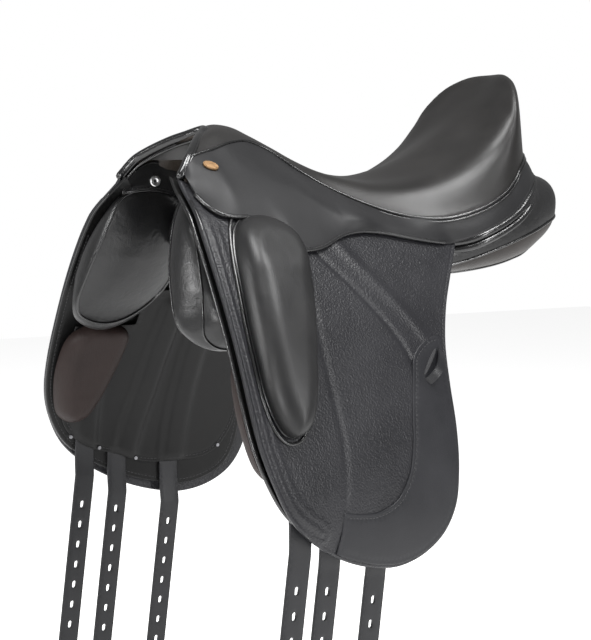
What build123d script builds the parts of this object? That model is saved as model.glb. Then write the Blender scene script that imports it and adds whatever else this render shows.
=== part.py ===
from build123d import *
import math
import os

# English dressage saddle with external thigh blocks, long girth straps and lifting flaps.
# Millimetres. +X is the horse's left, -Y the pommel, +Y the cantle, +Z up.
# The origin is the ceiling of the gullet channel below the lowest point of the seat.

# ---- driving dimensions -------------------------------------------------------------
COVER = 3.0             # leather and lining over the seat foam
GAP = 0.4               # air left between pieces that only touch
LEATHER = 4.0           # strap and skirt leather

# Seat sections: station y, seam half width, seam height, shoulder half width,
# shoulder height, crown height.
SEAT = [
    (-183, 50, 101, 33, 113, 119),
    (-147, 34, 104, 22, 113, 117),
    (-100, 37, 82, 25, 94, 97),
    (-50, 68, 48, 48, 66, 74),
    (8, 99, 24, 70, 52, 66),
    (60, 115, 18, 85, 55, 77),
    (115, 121, 30, 92, 78, 100),
    (165, 112, 55, 95, 115, 134),
    (186, 104, 70, 90, 128, 153),
    (200, 95, 81, 80, 145, 168),
    (215, 79, 89, 60, 160, 185),
    (229, 57, 96, 40, 165, 187),
    (238, 36, 99, 26, 152, 172),
    (243, 14, 102, 10, 130, 145),
]

# Flap sheet: a ruled surface between two upright sections made of arcs.
FRONT_Y = -290.0
REAR_Y = 90.0
FRONT_UPPER = (-453.5, -470.0, 765.0)    # centre x, centre z, radius
FRONT_LOWER_RADIUS = 240.0
REAR_ARC = (-287.0, -300.0, 496.0)
SECTION_TOP = 95.0
SECTION_JOIN = -200.0
SECTION_BOTTOM = -340.0

# Layers of one flap, as depth below its outer face (negative stands outside it).
FLAP = (0.0, 5.0)
SWEAT_FLAP = (10.0, 14.0)
STRAP = (14.4, 18.4)
GUARD = (18.9, 21.4)
SKIRT = (-5.0, -1.0)
PATCH = (-1.6, -0.3)
BLOCK_HEIGHT = 30.0
KNEE_PAD_HEIGHT = 24.0

# Hinge line of flap and skirt, and how far each lifts.
HINGE_FRONT = Vector(84, -240, 72)
HINGE_REAR = Vector(100, 20, 22)

# Point pocket on the horse's side of the front lobe, and its stud.
POCKET_X = 68.0
STUD_RADIUS = 6.5
STUD_LENGTH = 2.4

# Girth straps: centre y and hinge height of each, front to rear.
STRAPS = {"front": (-212, -302), "middle": (-172, -324), "rear": (-106, -342)}
STRAP_WIDTH = 25.0
STRAP_LENGTH = 385.0
STRAP_LEAN = 7.0        # degrees that the free strap leans towards the pommel
HOLE_PITCH = 25.0
HOLE_COUNT = 13
HOLE_SIZE = (9.0, 5.0)  # oblong punch: height, width
ANCHOR_TOP = -150.0
HINGE_ROOM = 2.6        # gap between the stitched end and the strap's hinge line

# Stirrup bar: faces of the bar and of its base plate, front end, and the catch pivot.
BAR_X = (88.0, 94.0)
BAR_HEIGHT = 14.0
BAR_FRONT = -146.0
BAR_LEVEL = 20.0
BAR_PLATE_X = (72.0, 75.0)
BAR_PLATE_SIZE = (92.0, 22.0)   # length, height
LUG_LENGTH = 9.0
TONGUE = (3.0, 16.0, 12.0)      # thickness, length and height of the pierced end
CATCH_PIVOT_Y = -80.0
CATCH_THICKNESS = 2.6
PIN_RADIUS = 2.0
RUNNING_CLEARANCE = 0.05


# Cantle rolls and the number of spans in half of an oval section.
ROLL_RADIUS = 3.6
OVAL_STEPS = 6


# ---- helpers ------------------------------------------------------------------------
def upright(y):
    """Plane across the saddle at station y, with local x to the left and local y up."""
    return Plane(origin=(0, y, 0), x_dir=(1, 0, 0), z_dir=(0, -1, 0))


def angle_at(arc, z):
    """Angle of an arc's point at height z, in radians above the horizontal."""
    return math.asin((z - arc[1]) / arc[2])


def on_arc(arc, depth, angle):
    """Point of an arc that is moved inwards by depth."""
    radius = arc[2] - depth
    return (arc[0] + radius * math.cos(angle), arc[1] + radius * math.sin(angle))


def arc_edge(arc, depth, start, end):
    """Arc edge between two angles."""
    middle = (start + end) / 2
    return ThreePointArc(on_arc(arc, depth, start), on_arc(arc, depth, middle), on_arc(arc, depth, end))


def tangent_arc(arc, radius, z):
    """Smaller arc that carries on smoothly from arc at height z."""
    angle = angle_at(arc, z)
    away = arc[2] - radius
    return (arc[0] + away * math.cos(angle), arc[1] + away * math.sin(angle), radius)


FRONT_LOWER = tangent_arc(FRONT_UPPER, FRONT_LOWER_RADIUS, SECTION_JOIN)


def sheet_section(upper, lower, outer, inner):
    """Thin upright section of a flap layer between two depths."""
    top = angle_at(upper, SECTION_TOP)
    join = angle_at(upper, SECTION_JOIN)
    bottom = angle_at(lower, SECTION_BOTTOM)
    edges = [
        arc_edge(upper, outer, top, join),
        arc_edge(lower, outer, join, bottom),
        Line(on_arc(lower, outer, bottom), on_arc(lower, inner, bottom)),
        arc_edge(lower, inner, bottom, join),
        arc_edge(upper, inner, join, top),
        Line(on_arc(upper, inner, top), on_arc(upper, outer, top)),
    ]
    return make_face(edges)


def flap_layer(layer):
    """Whole ruled sheet of one layer, before it is cut to its outline."""
    outer, inner = layer
    front = upright(FRONT_Y) * sheet_section(FRONT_UPPER, FRONT_LOWER, outer, inner)
    rear = upright(REAR_Y) * sheet_section(REAR_ARC, REAR_ARC, outer, inner)
    return loft([front, rear], ruled=True)


def side_prism(edges):
    """Prism across the left half of the saddle from an outline in the side view."""
    return extrude(Plane.YZ * make_face(edges), amount=420)


def flap_x(y, z, depth=0.0):
    """Distance of a flap layer from the middle plane."""
    arc = FRONT_UPPER if z > SECTION_JOIN else FRONT_LOWER
    front = arc[0] + math.sqrt((arc[2] - depth) ** 2 - (z - arc[1]) ** 2)
    rear = REAR_ARC[0] + math.sqrt((REAR_ARC[2] - depth) ** 2 - (z - REAR_ARC[1]) ** 2)
    share = (y - FRONT_Y) / (REAR_Y - FRONT_Y)
    return front + (rear - front) * share


def flap_tilt(y, z):
    """Angle in degrees of the sheet's outward normal above the horizontal."""
    step = 2.0
    slope = (flap_x(y, z + step) - flap_x(y, z - step)) / (2 * step)
    return math.degrees(math.atan(-slope))


def oval_face(across, along, turn=0.0):
    """Smooth oval made of two half curves, its long axis turned by an angle in degrees."""
    turn = math.radians(turn)

    def turned(u, v):
        return (u * math.cos(turn) - v * math.sin(turn), u * math.sin(turn) + v * math.cos(turn))

    halves = []
    for side in (1, -1):
        angles = [side * math.pi * step / OVAL_STEPS for step in range(OVAL_STEPS + 1)]
        points = [turned(across * math.cos(t), along * math.sin(t)) for t in angles]
        halves.append(Spline(*points, tangents=[turned(0, side), turned(0, -side)]))
    return make_face(halves)


def pad(outline, layer):
    """Padded block that stands on a flap layer between two depths."""
    return flap_layer(layer) & side_prism([outline])


# ---- seat ---------------------------------------------------------------------------
def seat_curve(station, drop):
    """Crowned top line of a seat section, lowered and narrowed by drop."""
    _, seam_x, seam_z, shoulder_x, shoulder_z, crown = station
    side = seam_x - drop
    shoulder = (shoulder_x - 0.7 * drop, shoulder_z - 0.7 * drop)
    return Spline(
        (-side, seam_z), (-shoulder[0], shoulder[1]), (0, crown - drop), shoulder, (side, seam_z)
    )


def seat_cover():
    """Leather seat from the pommel to the top of the cantle."""
    sections = []
    for station in SEAT:
        outer = seat_curve(station, 0)
        inner = seat_curve(station, COVER)
        face = make_face([outer, inner, Line(outer @ 0, inner @ 0), Line(outer @ 1, inner @ 1)])
        sections.append(upright(station[0]) * face)
    return loft(sections)


def seat_foam():
    """Shaped foam between the seat leather and the tree."""
    sections = []
    for station in SEAT:
        top = seat_curve(station, COVER + 2 * GAP)
        sections.append(upright(station[0]) * make_face([top, Line(top @ 0, top @ 1)]))
    return loft(sections)


def seam_at(y):
    """Half width and height of the seat seam at station y, between the stations."""
    for low, high in zip(SEAT, SEAT[1:]):
        if low[0] <= y <= high[0]:
            share = (y - low[0]) / (high[0] - low[0])
            return (low[1] + (high[1] - low[1]) * share, low[2] + (high[2] - low[2]) * share)
    raise ValueError(y)


def plate_under_seat(stations, drop, thick, inset=None, width=None):
    """Flat-section plate that follows the seam height below the foam."""
    sections = []
    for y in stations:
        seam_x, seam_z = seam_at(y)
        full = width if width else 2 * (seam_x - inset)
        sections.append(upright(y) * (Pos(0, seam_z - drop - thick / 2) * Rectangle(full, thick)))
    return loft(sections, ruled=True)


def tree_shell():
    """Moulded tree under the seat, waisted behind the pommel."""
    stations = [station[0] for station in SEAT[1:-1]]
    return plate_under_seat(stations, drop=9, thick=6, inset=16)


def seat_web_long():
    """Web stretched along the middle of the tree, under the foam."""
    stations = [station[0] for station in SEAT[2:9]]
    return plate_under_seat(stations, drop=2.5, thick=1.6, width=36)


def seat_web_cross():
    """Two webs laid across under the long web, on top of the tree."""
    webs = [plate_under_seat((y, y + 22), drop=5.5, thick=1.4, inset=20) for y in (14, 66)]
    return Compound(webs)


# ---- front arch ---------------------------------------------------------------------
ARCH_FOOT = Vector(71, -252, 57)
ARCH_SHOULDER = Vector(56, -234, 90)
ARCH_APEX = Vector(0, -177, 123)
ARCH_ROLL_RADIUS = 5.5


def arch_path(shift, bend):
    """Pointed arch from the right foot over the apex to the left foot."""
    left = [ARCH_SHOULDER + shift, ARCH_FOOT + shift]
    right = [Vector(-point.X, point.Y, point.Z) for point in reversed(left)]
    return FilletPolyline(*right, ARCH_APEX + shift, *left, radius=bend)


def front_arch_roll():
    """Stuffed roll round the cut-back front edge."""
    path = arch_path(Vector(0, 0, 0), 24)
    start = path % 0
    return sweep(Plane(origin=path @ 0, z_dir=start) * Circle(ARCH_ROLL_RADIUS), path=path)


def head_plate():
    """Steel arch riveted across the front of the tree, legs down beside the withers."""
    outer = [(-62, 36), (-24, 97), (24, 97), (62, 36)]
    inner = [(-57, 34), (-21, 92.5), (21, 92.5), (57, 34)]
    face = make_face(Polyline(*outer, *reversed(inner), close=True))
    return extrude(upright(-150) * face, amount=14)


def front_arch_lining():
    """Two soft leather facings from the arch roll back to the channel lining."""
    foot = Vector(62, -240, 50)
    top = Vector(6, -187, 96)
    back = Vector(50, -187, 34)
    face = make_face(Polyline(foot, top, back, close=True))
    left = extrude(face, amount=2.5)
    return Compound([left, mirror(left, about=Plane.YZ)])


def channel_lining():
    """Lining of the gullet channel, from the front arch to the rear gusset."""
    sections = []
    stations = (
        (-172, 38, 48, 84),
        (-100, 25, 35, 56),
        (-40, 24, 6, 16),
        (0, 24, -5, 0),
        (110, 24, -3, 2),
        (165, 22, 14, 22),
        (205, 18, 42, 48),
    )
    for y, half, side_z, crown in stations:
        top = ThreePointArc((-half, side_z), (0, crown), (half, side_z))
        under = ThreePointArc((-half + 2.6, side_z), (0, crown - 2.4), (half - 2.6, side_z))
        face = make_face([top, under, Line(top @ 0, under @ 0), Line(top @ 1, under @ 1)])
        sections.append(upright(y) * face)
    return loft(sections)


# ---- cantle -------------------------------------------------------------------------
def cantle_line(grow, drop):
    """Line round the rear of the saddle, moved out from the seat seam and down from it."""
    half = [(119 + grow, 98), (116 + grow, 150), (98 + grow, 194), (56 + grow, 228 + grow)]
    left = [(x, y, seam_at(y)[1] - drop) for x, y in half]
    right = [(-x, y, z) for x, y, z in reversed(left)]
    return Spline(*left, (0, 244 + grow, 104 - drop), *right)


def cantle_facing():
    """Leather facing that hangs from the seat seam round the rear."""
    top = cantle_line(0, 8)
    low = cantle_line(0, 18)
    skin = Face.make_surface_from_curves(top.edge(), low.edge())
    return Solid.thicken(skin, 2.5)


def cantle_roll(drop):
    """Piped roll round the rear of the saddle, below the facing."""
    path = cantle_line(2, drop)
    return sweep(Plane(origin=path @ 0, z_dir=path % 0) * Circle(ROLL_RADIUS), path=path)


# ---- panels -------------------------------------------------------------------------
def panel():
    """Flocked cushion along the horse's back, left side."""
    stations = (
        (-186, 50, 14, 36, 11, -58),
        (-148, 51, 4, 37, 12.5, -55),
        (-110, 52, -6, 38, 14, -52),
        (-75, 56, -16, 36, 14.5, -42),
        (-40, 62, -24, 34, 15, -32),
        (20, 70, -27, 34, 16, -16),
        (92, 76, -22, 38, 20, -6),
        (160, 74, -10, 46, 25, 0),
        (204, 68, 12, 44, 33, 0),
        (232, 62, 26, 38, 29, 0),
        (248, 58, 31, 26, 20, 0),
    )
    return loft([Pos(x, 0, z) * (upright(y) * oval_face(a, b, turn)) for y, x, z, a, b, turn in stations])


def panel_lobe():
    """Stuffed front lobe of the left panel, in front of the tree point."""
    stations = (
        (26, 77, -220, 8, 32),
        (14, 85, -219, 11, 38),
        (-4, 95, -219, 16, 46),
        (-28, 111, -220, 21, 53),
        (-52, 124, -222, 23, 55),
        (-75, 136, -227, 20, 50),
        (-94, 144, -235, 14, 38),
        (-105, 149, -242, 7, 22),
    )
    return loft([Pos(x, y, z) * oval_face(a, b) for z, x, y, a, b in stations])


def point_pocket():
    """Half-moon leather pocket over the tree point, on the horse's side of the panel."""
    edges = [
        ThreePointArc((-238, 48), (-207, 72), (-178, 38)),
        ThreePointArc((-178, 38), (-206, 45), (-238, 48)),
    ]
    return Pos(POCKET_X, 0, 0) * extrude(Plane.YZ * make_face(edges), amount=2.5)


def tree_point():
    """Laminated point of the tree, outside the panel and inside its pocket."""
    face = Pos(-202, 47) * RectangleRounded(36, 34, 10)
    return Pos(POCKET_X + 3, 0, 0) * extrude(Plane.YZ * face, amount=5)


# ---- stirrup bar --------------------------------------------------------------------
def bar_block(x, y, thickness, length, height):
    """Block centred on the level of the bar, from its inner face x and its front end y."""
    block = Box(thickness, length, height, align=(Align.MIN, Align.MIN, Align.CENTER))
    return Pos(x, y, BAR_LEVEL) * block


def pivot_cylinder(x, radius, length):
    """Cylinder across the saddle on the axis of the catch, from x outwards."""
    rod = Cylinder(radius, length, align=(Align.CENTER, Align.CENTER, Align.MIN))
    return Pos(x, CATCH_PIVOT_Y, BAR_LEVEL) * (Rot(0, 90, 0) * rod)


def stirrup_bar():
    """Steel bar that carries the stirrup leather, open to the rear."""
    plate = bar_block(BAR_PLATE_X[0], BAR_FRONT - 4, BAR_PLATE_X[1] - BAR_PLATE_X[0], *BAR_PLATE_SIZE)
    lug = bar_block(BAR_PLATE_X[0], BAR_FRONT, BAR_X[1] - BAR_PLATE_X[0], LUG_LENGTH, BAR_HEIGHT)
    tongue_front = CATCH_PIVOT_Y - TONGUE[1] / 2
    bar = bar_block(BAR_X[0], BAR_FRONT, BAR_X[1] - BAR_X[0], tongue_front - BAR_FRONT, BAR_HEIGHT)
    tongue = bar_block(BAR_X[0], tongue_front, *TONGUE)
    return plate + lug + bar + tongue - pivot_cylinder(BAR_X[0] - 1, PIN_RADIUS, TONGUE[0] + 2)


def catch_pin():
    """Rivet through the end of the bar, on which the catch turns."""
    return pivot_cylinder(BAR_X[0], PIN_RADIUS, BAR_X[1] - BAR_X[0] + 0.6)


def stirrup_catch():
    """Small thumb catch that closes the open end of the bar."""
    root, tip, length = 5.5, 4.5, 17.0
    face = make_face(
        [
            ThreePointArc((-root, 0), (0, -root), (root, 0)),
            Line((root, 0), (tip, length)),
            ThreePointArc((tip, length), (0, length + tip), (-tip, length)),
            Line((-tip, length), (-root, 0)),
        ]
    )
    inner_x = BAR_X[0] + TONGUE[0] + GAP
    plane = Plane(origin=(inner_x, CATCH_PIVOT_Y, BAR_LEVEL), x_dir=(0, 0, -1), z_dir=(1, 0, 0))
    blade = extrude(plane * face, amount=CATCH_THICKNESS)
    return blade - pivot_cylinder(inner_x - 1, PIN_RADIUS + RUNNING_CLEARANCE, CATCH_THICKNESS + 2)


# ---- flap and what is sewn to it ----------------------------------------------------
def flap_outline():
    """Free edge and stitched top edge of the outer flap, in the side view."""
    edge = Spline(
        (-242, 63), (-256, 20), (-263, -90), (-262, -190), (-232, -266), (-157, -317),
        (-85, -333), (-20, -308), (5, -245), (9, -155), (31, -77), (80, -10),
    )
    top = Polyline(
        (80, -10), (80, 1), (-56, 27), (-60, 9), (-150, 9), (-152, 45), (-242, 63)
    )
    return [edge, top]


def flap():
    """Pebbled outer flap."""
    return flap_layer(FLAP) & side_prism(flap_outline())


def sweat_flap():
    """Thinner inner flap on the horse's side of the outer one."""
    edge = Spline(
        (-240, 56), (-251, 20), (-257, -90), (-255, -190), (-226, -260), (-153, -308),
        (-85, -321), (-32, -300), (-12, -240), (-8, -155), (2, -60),
    )
    top = Polyline((2, -60), (2, -14), (-152, 0), (-154, 36), (-240, 56))
    return flap_layer(SWEAT_FLAP) & side_prism([edge, top])


def billet_guard():
    """Smooth sheet on the horse's side that keeps the strap ends off the horse."""
    edge = Spline(
        (-246, -120), (-249, -190), (-240, -238), (-214, -264), (-172, -278), (-140, -289),
        (-85, -290), (-45, -278), (-22, -238), (-18, -150), (-20, -70),
    )
    top = Polyline((-20, -70), (-168, -70), (-172, -120), (-246, -120))
    return flap_layer(GUARD) & side_prism([edge, top])


def knee_pad():
    """Soft pad on the horse's side, below the front lobe."""
    outline = Spline(
        (-214, -112), (-252, -128), (-256, -170), (-246, -216), (-222, -231),
        (-198, -210), (-178, -168), (-178, -126), periodic=True,
    )
    return pad(outline, (GUARD[1] + GAP, GUARD[1] + KNEE_PAD_HEIGHT))


def thigh_block():
    """Padded block outside the flap, in front of the rider's thigh."""
    outline = Spline(
        (-186, 22), (-222, 10), (-243, -40), (-250, -110), (-244, -165), (-222, -188),
        (-200, -176), (-176, -115), (-156, -50), (-158, 6), periodic=True,
    )
    return pad(outline, (-BLOCK_HEIGHT, -GAP))


def wear_patch():
    """Smooth leg patch sewn on the rear and bottom of the flap."""
    inner = Spline((3, -108), (-36, -122), (-56, -180), (-72, -240), (-118, -269), (-166, -265))
    outer = Spline((-176, -300), (-85, -327), (-25, -304), (-1, -245), (3, -155), (3, -108))
    face = [inner, Line((-166, -265), (-176, -300)), outer]
    return flap_layer(PATCH) & side_prism(face)


def leather_keeper():
    """Loop on the wear patch that tucks in the end of the stirrup leather."""
    y, z = -14, -136
    x = flap_x(y, z, PATCH[0])
    ring = Rectangle(40, 10) - Rectangle(34, 5)
    plane = Plane(origin=(x + 14.5, y, z), x_dir=(0, 0.82, 0.57), z_dir=(0.35, -0.53, 0.77))
    return extrude(plane * ring, amount=6, both=True)


def strap_anchor(name):
    """Upper end of a girth strap, stitched between sweat flap and guard."""
    y, hinge_z = STRAPS[name]
    half = STRAP_WIDTH / 2
    edges = Polyline(
        (y - half, ANCHOR_TOP), (y + half, ANCHOR_TOP), (y + half, hinge_z + HINGE_ROOM),
        (y - half, hinge_z + HINGE_ROOM), close=True,
    )
    return flap_layer(STRAP) & side_prism([edges])


def strap_anchors():
    """The three stitched strap ends of one side."""
    return Compound([strap_anchor(name) for name in STRAPS])


def strap_hinge(name):
    """Point on the hinge line at the top of a free strap."""
    y, z = STRAPS[name]
    return Vector(flap_x(y, z, (STRAP[0] + STRAP[1]) / 2), y, z)


def girth_strap(name):
    """Free lower part of a girth strap, with its punched holes."""
    half = STRAP_WIDTH / 2
    tip = -STRAP_LENGTH
    outline = [
        Line((half, -1.0), (-half, -1.0)),
        Line((-half, -1.0), (-half, tip + 22)),
        ThreePointArc((-half, tip + 22), (0, tip), (half, tip + 22)),
        Line((half, tip + 22), (half, -1.0)),
    ]
    blade = make_face(outline)
    first = {"front": 36, "middle": 22, "rear": 25}[name]
    for index in range(HOLE_COUNT):
        hole = SlotOverall(HOLE_SIZE[0], HOLE_SIZE[1], rotation=90)
        blade -= Pos(0, -first - index * HOLE_PITCH) * hole
    lean = math.radians(STRAP_LEAN)
    plane = Plane(
        origin=strap_hinge(name), x_dir=(0, math.cos(lean), -math.sin(lean)), z_dir=(1, 0, 0)
    )
    return extrude(plane * blade, amount=LEATHER / 2, both=True)


def guard_rivets():
    """Small rivets that hold the lower corners of the guard."""
    rivets = []
    for y, z in ((-232, -252), (-196, -268), (-150, -284), (-44, -274)):
        x = flap_x(y, z, GUARD[1])
        turn = -flap_tilt(y, z)
        rivet = Rot(0, 90 + turn, 0) * Cylinder(2.2, 1.4)
        rivets.append(Pos(x - 1.4, y, z) * rivet)
    return Compound(rivets)


# ---- skirt --------------------------------------------------------------------------
def skirt():
    """Lifting part of the skirt, below the hinge line."""
    low = Spline((-252, 46), (-236, 27), (-205, 27), (-186, 28), (-158, 18), (-148, -9))
    rear = Spline((-148, -9), (-126, -10), (-82, 3), (-40, 6), (0, 0), (18, -3))
    edges = [
        Line((-244, 65), (-252, 46)),
        low,
        rear,
        Line((18, -3), (18, 15)),
        Line((18, 15), (-244, 65)),
    ]
    return flap_layer(SKIRT) & side_prism(edges)


def skirt_top():
    """Fixed part of the skirt, from the seat seam down to the hinge line."""
    stations = (
        (-229, 58, 81, 81, 75),
        (-190, 47, 90, 84, 68),
        (-147, 34, 101, 88, 59),
        (-100, 41, 80, 92, 50),
        (-50, 72, 46, 96, 41),
    )
    sections = []
    for y, x_top, z_top, x_low, z_low in stations:
        face = Polyline(
            (x_top, z_top - 1), (x_low, z_low + 1), (x_low - 2, z_low - 2.5), (x_top - 1, z_top - 4),
            close=True,
        )
        sections.append(upright(y) * make_face(face))
    return loft(sections, ruled=True)


def badge():
    """Plain oval brass badge on the fixed part of the skirt."""
    plane = Plane(origin=(76, -222, 82), x_dir=(0, 1, -0.35), z_dir=(0.4, 0, 0.9))
    return extrude(plane * Ellipse(8.5, 5.5), amount=1.6)


def pocket_stud():
    """Plated ring stud in the middle of the point pocket."""
    ring = Cylinder(STUD_RADIUS, STUD_LENGTH) - Cylinder(PIN_RADIUS, STUD_LENGTH)
    return Pos(POCKET_X - STUD_LENGTH / 2 - 0.2, -206, 60) * (Rot(0, 90, 0) * ring)


# ---- write --------------------------------------------------------------------------
def write(node, shape):
    """Save one sub-part."""
    export_step(shape, f"parts/{node}.step")


def main():
    os.makedirs("parts", exist_ok=True)
    singles = {
        "seat_cover": seat_cover,
        "seat_foam": seat_foam,
        "tree_shell": tree_shell,
        "seat_web_long": seat_web_long,
        "seat_web_cross": seat_web_cross,
        "front_arch_roll": front_arch_roll,
        "head_plate": head_plate,
        "front_arch_lining": front_arch_lining,
        "channel_lining": channel_lining,
        "cantle_facing": cantle_facing,
    }
    for node, make in singles.items():
        write(node, make())
    write("cantle_roll_upper", cantle_roll(23))
    write("cantle_roll_lower", cantle_roll(33))
    pairs = {
        "panel": panel,
        "panel_lobe": panel_lobe,
        "point_pocket": point_pocket,
        "pocket_stud": pocket_stud,
        "tree_point": tree_point,
        "stirrup_bar": stirrup_bar,
        "catch_pin": catch_pin,
        "stirrup_catch": stirrup_catch,
        "flap": flap,
        "sweat_flap": sweat_flap,
        "billet_guard": billet_guard,
        "knee_pad": knee_pad,
        "thigh_block": thigh_block,
        "wear_patch": wear_patch,
        "leather_keeper": leather_keeper,
        "strap_anchors": strap_anchors,
        "guard_rivets": guard_rivets,
        "skirt": skirt,
        "skirt_top": skirt_top,
        "badge": badge,
    }
    for node, make in pairs.items():
        left = make()
        write(f"{node}_left", left)
        write(f"{node}_right", mirror(left, about=Plane.YZ))
    for name in STRAPS:
        left = girth_strap(name)
        write(f"girth_strap_{name}_left", left)
        write(f"girth_strap_{name}_right", mirror(left, about=Plane.YZ))


main()
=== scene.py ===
import math
import bpy
import numpy as np
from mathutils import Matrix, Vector, geometry


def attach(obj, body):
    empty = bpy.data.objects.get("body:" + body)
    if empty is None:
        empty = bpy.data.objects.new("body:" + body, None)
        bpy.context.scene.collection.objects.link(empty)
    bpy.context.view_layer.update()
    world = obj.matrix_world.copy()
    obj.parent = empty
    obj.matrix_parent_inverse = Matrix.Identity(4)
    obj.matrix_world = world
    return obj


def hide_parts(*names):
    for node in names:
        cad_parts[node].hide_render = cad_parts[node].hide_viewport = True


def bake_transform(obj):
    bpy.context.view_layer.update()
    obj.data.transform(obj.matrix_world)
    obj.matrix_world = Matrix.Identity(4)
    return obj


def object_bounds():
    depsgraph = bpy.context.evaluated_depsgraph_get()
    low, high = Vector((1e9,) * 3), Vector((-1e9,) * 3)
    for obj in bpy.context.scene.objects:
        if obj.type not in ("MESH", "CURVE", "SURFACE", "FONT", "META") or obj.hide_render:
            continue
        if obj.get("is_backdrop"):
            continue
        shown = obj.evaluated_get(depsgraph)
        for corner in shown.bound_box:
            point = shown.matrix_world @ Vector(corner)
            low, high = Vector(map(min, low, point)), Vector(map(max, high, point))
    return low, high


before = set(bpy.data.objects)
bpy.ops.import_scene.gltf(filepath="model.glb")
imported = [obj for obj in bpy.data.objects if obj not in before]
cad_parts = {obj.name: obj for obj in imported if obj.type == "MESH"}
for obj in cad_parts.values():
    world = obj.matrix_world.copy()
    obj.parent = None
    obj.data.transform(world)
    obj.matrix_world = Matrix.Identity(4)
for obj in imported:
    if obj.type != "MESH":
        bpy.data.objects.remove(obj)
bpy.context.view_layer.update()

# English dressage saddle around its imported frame. Shapes are worked out in millimetres on the
# left half (+X) and written to the meshes in metres. -Y is the pommel, +Z is up.

MM = 0.001


def unit(v):
    """Vector of length 1 in the direction of v."""
    return v / np.linalg.norm(v)


def unit_rows(v):
    """Each row of v as a unit vector, and zero rows left as they are."""
    return v / np.maximum(np.linalg.norm(v, axis=1), 1e-9)[:, None]


# ---- flap surface, the same arcs as the CAD sheet ---------------------------------------
FRONT_Y, REAR_Y = -290.0, 90.0
FRONT_ARC = (-453.5, -470.0, 765.0)
FRONT_JOIN, FRONT_LOW_RADIUS = -200.0, 240.0
REAR_ARC = (-287.0, -300.0, 496.0)
join_angle = math.asin((FRONT_JOIN - FRONT_ARC[1]) / FRONT_ARC[2])
FRONT_LOW = (
    FRONT_ARC[0] + (FRONT_ARC[2] - FRONT_LOW_RADIUS) * math.cos(join_angle),
    FRONT_ARC[1] + (FRONT_ARC[2] - FRONT_LOW_RADIUS) * math.sin(join_angle),
    FRONT_LOW_RADIUS,
)


def flap_x(y, z, depth=0.0):
    """Distance of the flap's parallel surface at that depth from the middle plane."""
    y, z, depth = np.broadcast_arrays(np.asarray(y, float), z, depth)

    def arc(a):
        return a[0] + np.sqrt(np.maximum((a[2] - depth) ** 2 - (z - a[1]) ** 2, 0))

    front = np.where(z > FRONT_JOIN, arc(FRONT_ARC), arc(FRONT_LOW))
    return front + (arc(REAR_ARC) - front) * (y - FRONT_Y) / (REAR_Y - FRONT_Y)


def fade(t):
    """Smooth step from 0 to 1."""
    t = np.clip(t, 0, 1)
    return t * t * (3 - 2 * t)


def side_x(y, z, depth=0.0):
    """Visible side surface: the flap surface, leaning in to the arch at its front top corner."""
    y, z = np.asarray(y, float), np.asarray(z, float)
    return flap_x(y, z, depth) - 20.0 * fade((z - 18) / 46) * fade((-205 - y) / 40)


def on_flap(yz, depth):
    """Points on the parallel surface at that depth from (y, z) pairs."""
    yz = np.asarray(yz, float)
    return np.column_stack([side_x(yz[:, 0], yz[:, 1], depth), yz[:, 0], yz[:, 1]])


def flap_normal(yz):
    """Outward unit normals of the flap surface at (y, z) pairs."""
    yz = np.asarray(yz, float)
    y, z = yz[:, 0], yz[:, 1]
    dy = (side_x(y + 1, z) - side_x(y - 1, z)) / 2
    dz = (side_x(y, z + 1) - side_x(y, z - 1)) / 2
    return unit_rows(np.column_stack([np.ones_like(y), -dy, -dz]))


# ---- curves ------------------------------------------------------------------------------
def smooth_through(points, count, closed=False):
    """Smooth curve through points, as count points evenly spaced along it."""
    p = np.asarray(points, float)
    if closed:
        p = np.vstack([p[-2:], p, p[:3]])
    gaps = np.maximum(np.linalg.norm(np.diff(p, axis=0), axis=1) ** 0.5, 1e-6)
    knots = np.concatenate([[0], np.cumsum(gaps)])
    slope = np.gradient(p, knots, axis=0)
    fine = []
    first, last = (2, len(p) - 3) if closed else (0, len(p) - 1)
    for i in range(first, last):
        t = np.linspace(0, 1, 40, endpoint=False)[:, None]
        h = knots[i + 1] - knots[i]
        a, b = 2 * t ** 3 - 3 * t ** 2 + 1, t ** 3 - 2 * t ** 2 + t
        c, d = -2 * t ** 3 + 3 * t ** 2, t ** 3 - t ** 2
        fine.append(a * p[i] + b * h * slope[i] + c * p[i + 1] + d * h * slope[i + 1])
    fine.append(p[last][None])
    return evenly(np.vstack(fine), count, closed)


def run_of(line):
    """Length along a line up to each of its points."""
    return np.concatenate([[0], np.cumsum(np.linalg.norm(np.diff(line, axis=0), axis=1))])


def read_at(at, run, values):
    """Rows of values, one for each point of a line, read at these lengths along it."""
    return np.column_stack([np.interp(at, run, column) for column in values.T])


def evenly(line, count, closed=False):
    """The same polyline as count evenly spaced points."""
    line = np.asarray(line, float)
    run = run_of(line)
    return read_at(np.linspace(0, run[-1], count, endpoint=not closed), run, line)


def outline(*parts, step=3.0):
    """Closed loop in the side view from ("smooth" or "straight", points) stretches."""
    loop = []
    for kind, points in parts:
        rough = smooth_through(points, 200) if kind == "smooth" else np.asarray(points, float)
        loop.append(evenly(rough, max(3, int(run_of(rough)[-1] / step) + 1))[:-1])
    return np.vstack(loop)


def distance_to(points, line, closed=True):
    """Distance of each point from a polyline in the plane."""
    a = line if closed else line[:-1]
    b = np.roll(line, -1, 0) if closed else line[1:]
    d = b - a
    square = np.maximum((d ** 2).sum(1), 1e-12)
    out = np.empty(len(points))
    for i in range(0, len(points), 1500):
        p = points[i:i + 1500, None, :]
        t = np.clip(((p - a) * d).sum(2) / square, 0, 1)
        out[i:i + 1500] = np.sqrt(((p - a - t[..., None] * d) ** 2).sum(2)).min(1)
    return out


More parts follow.
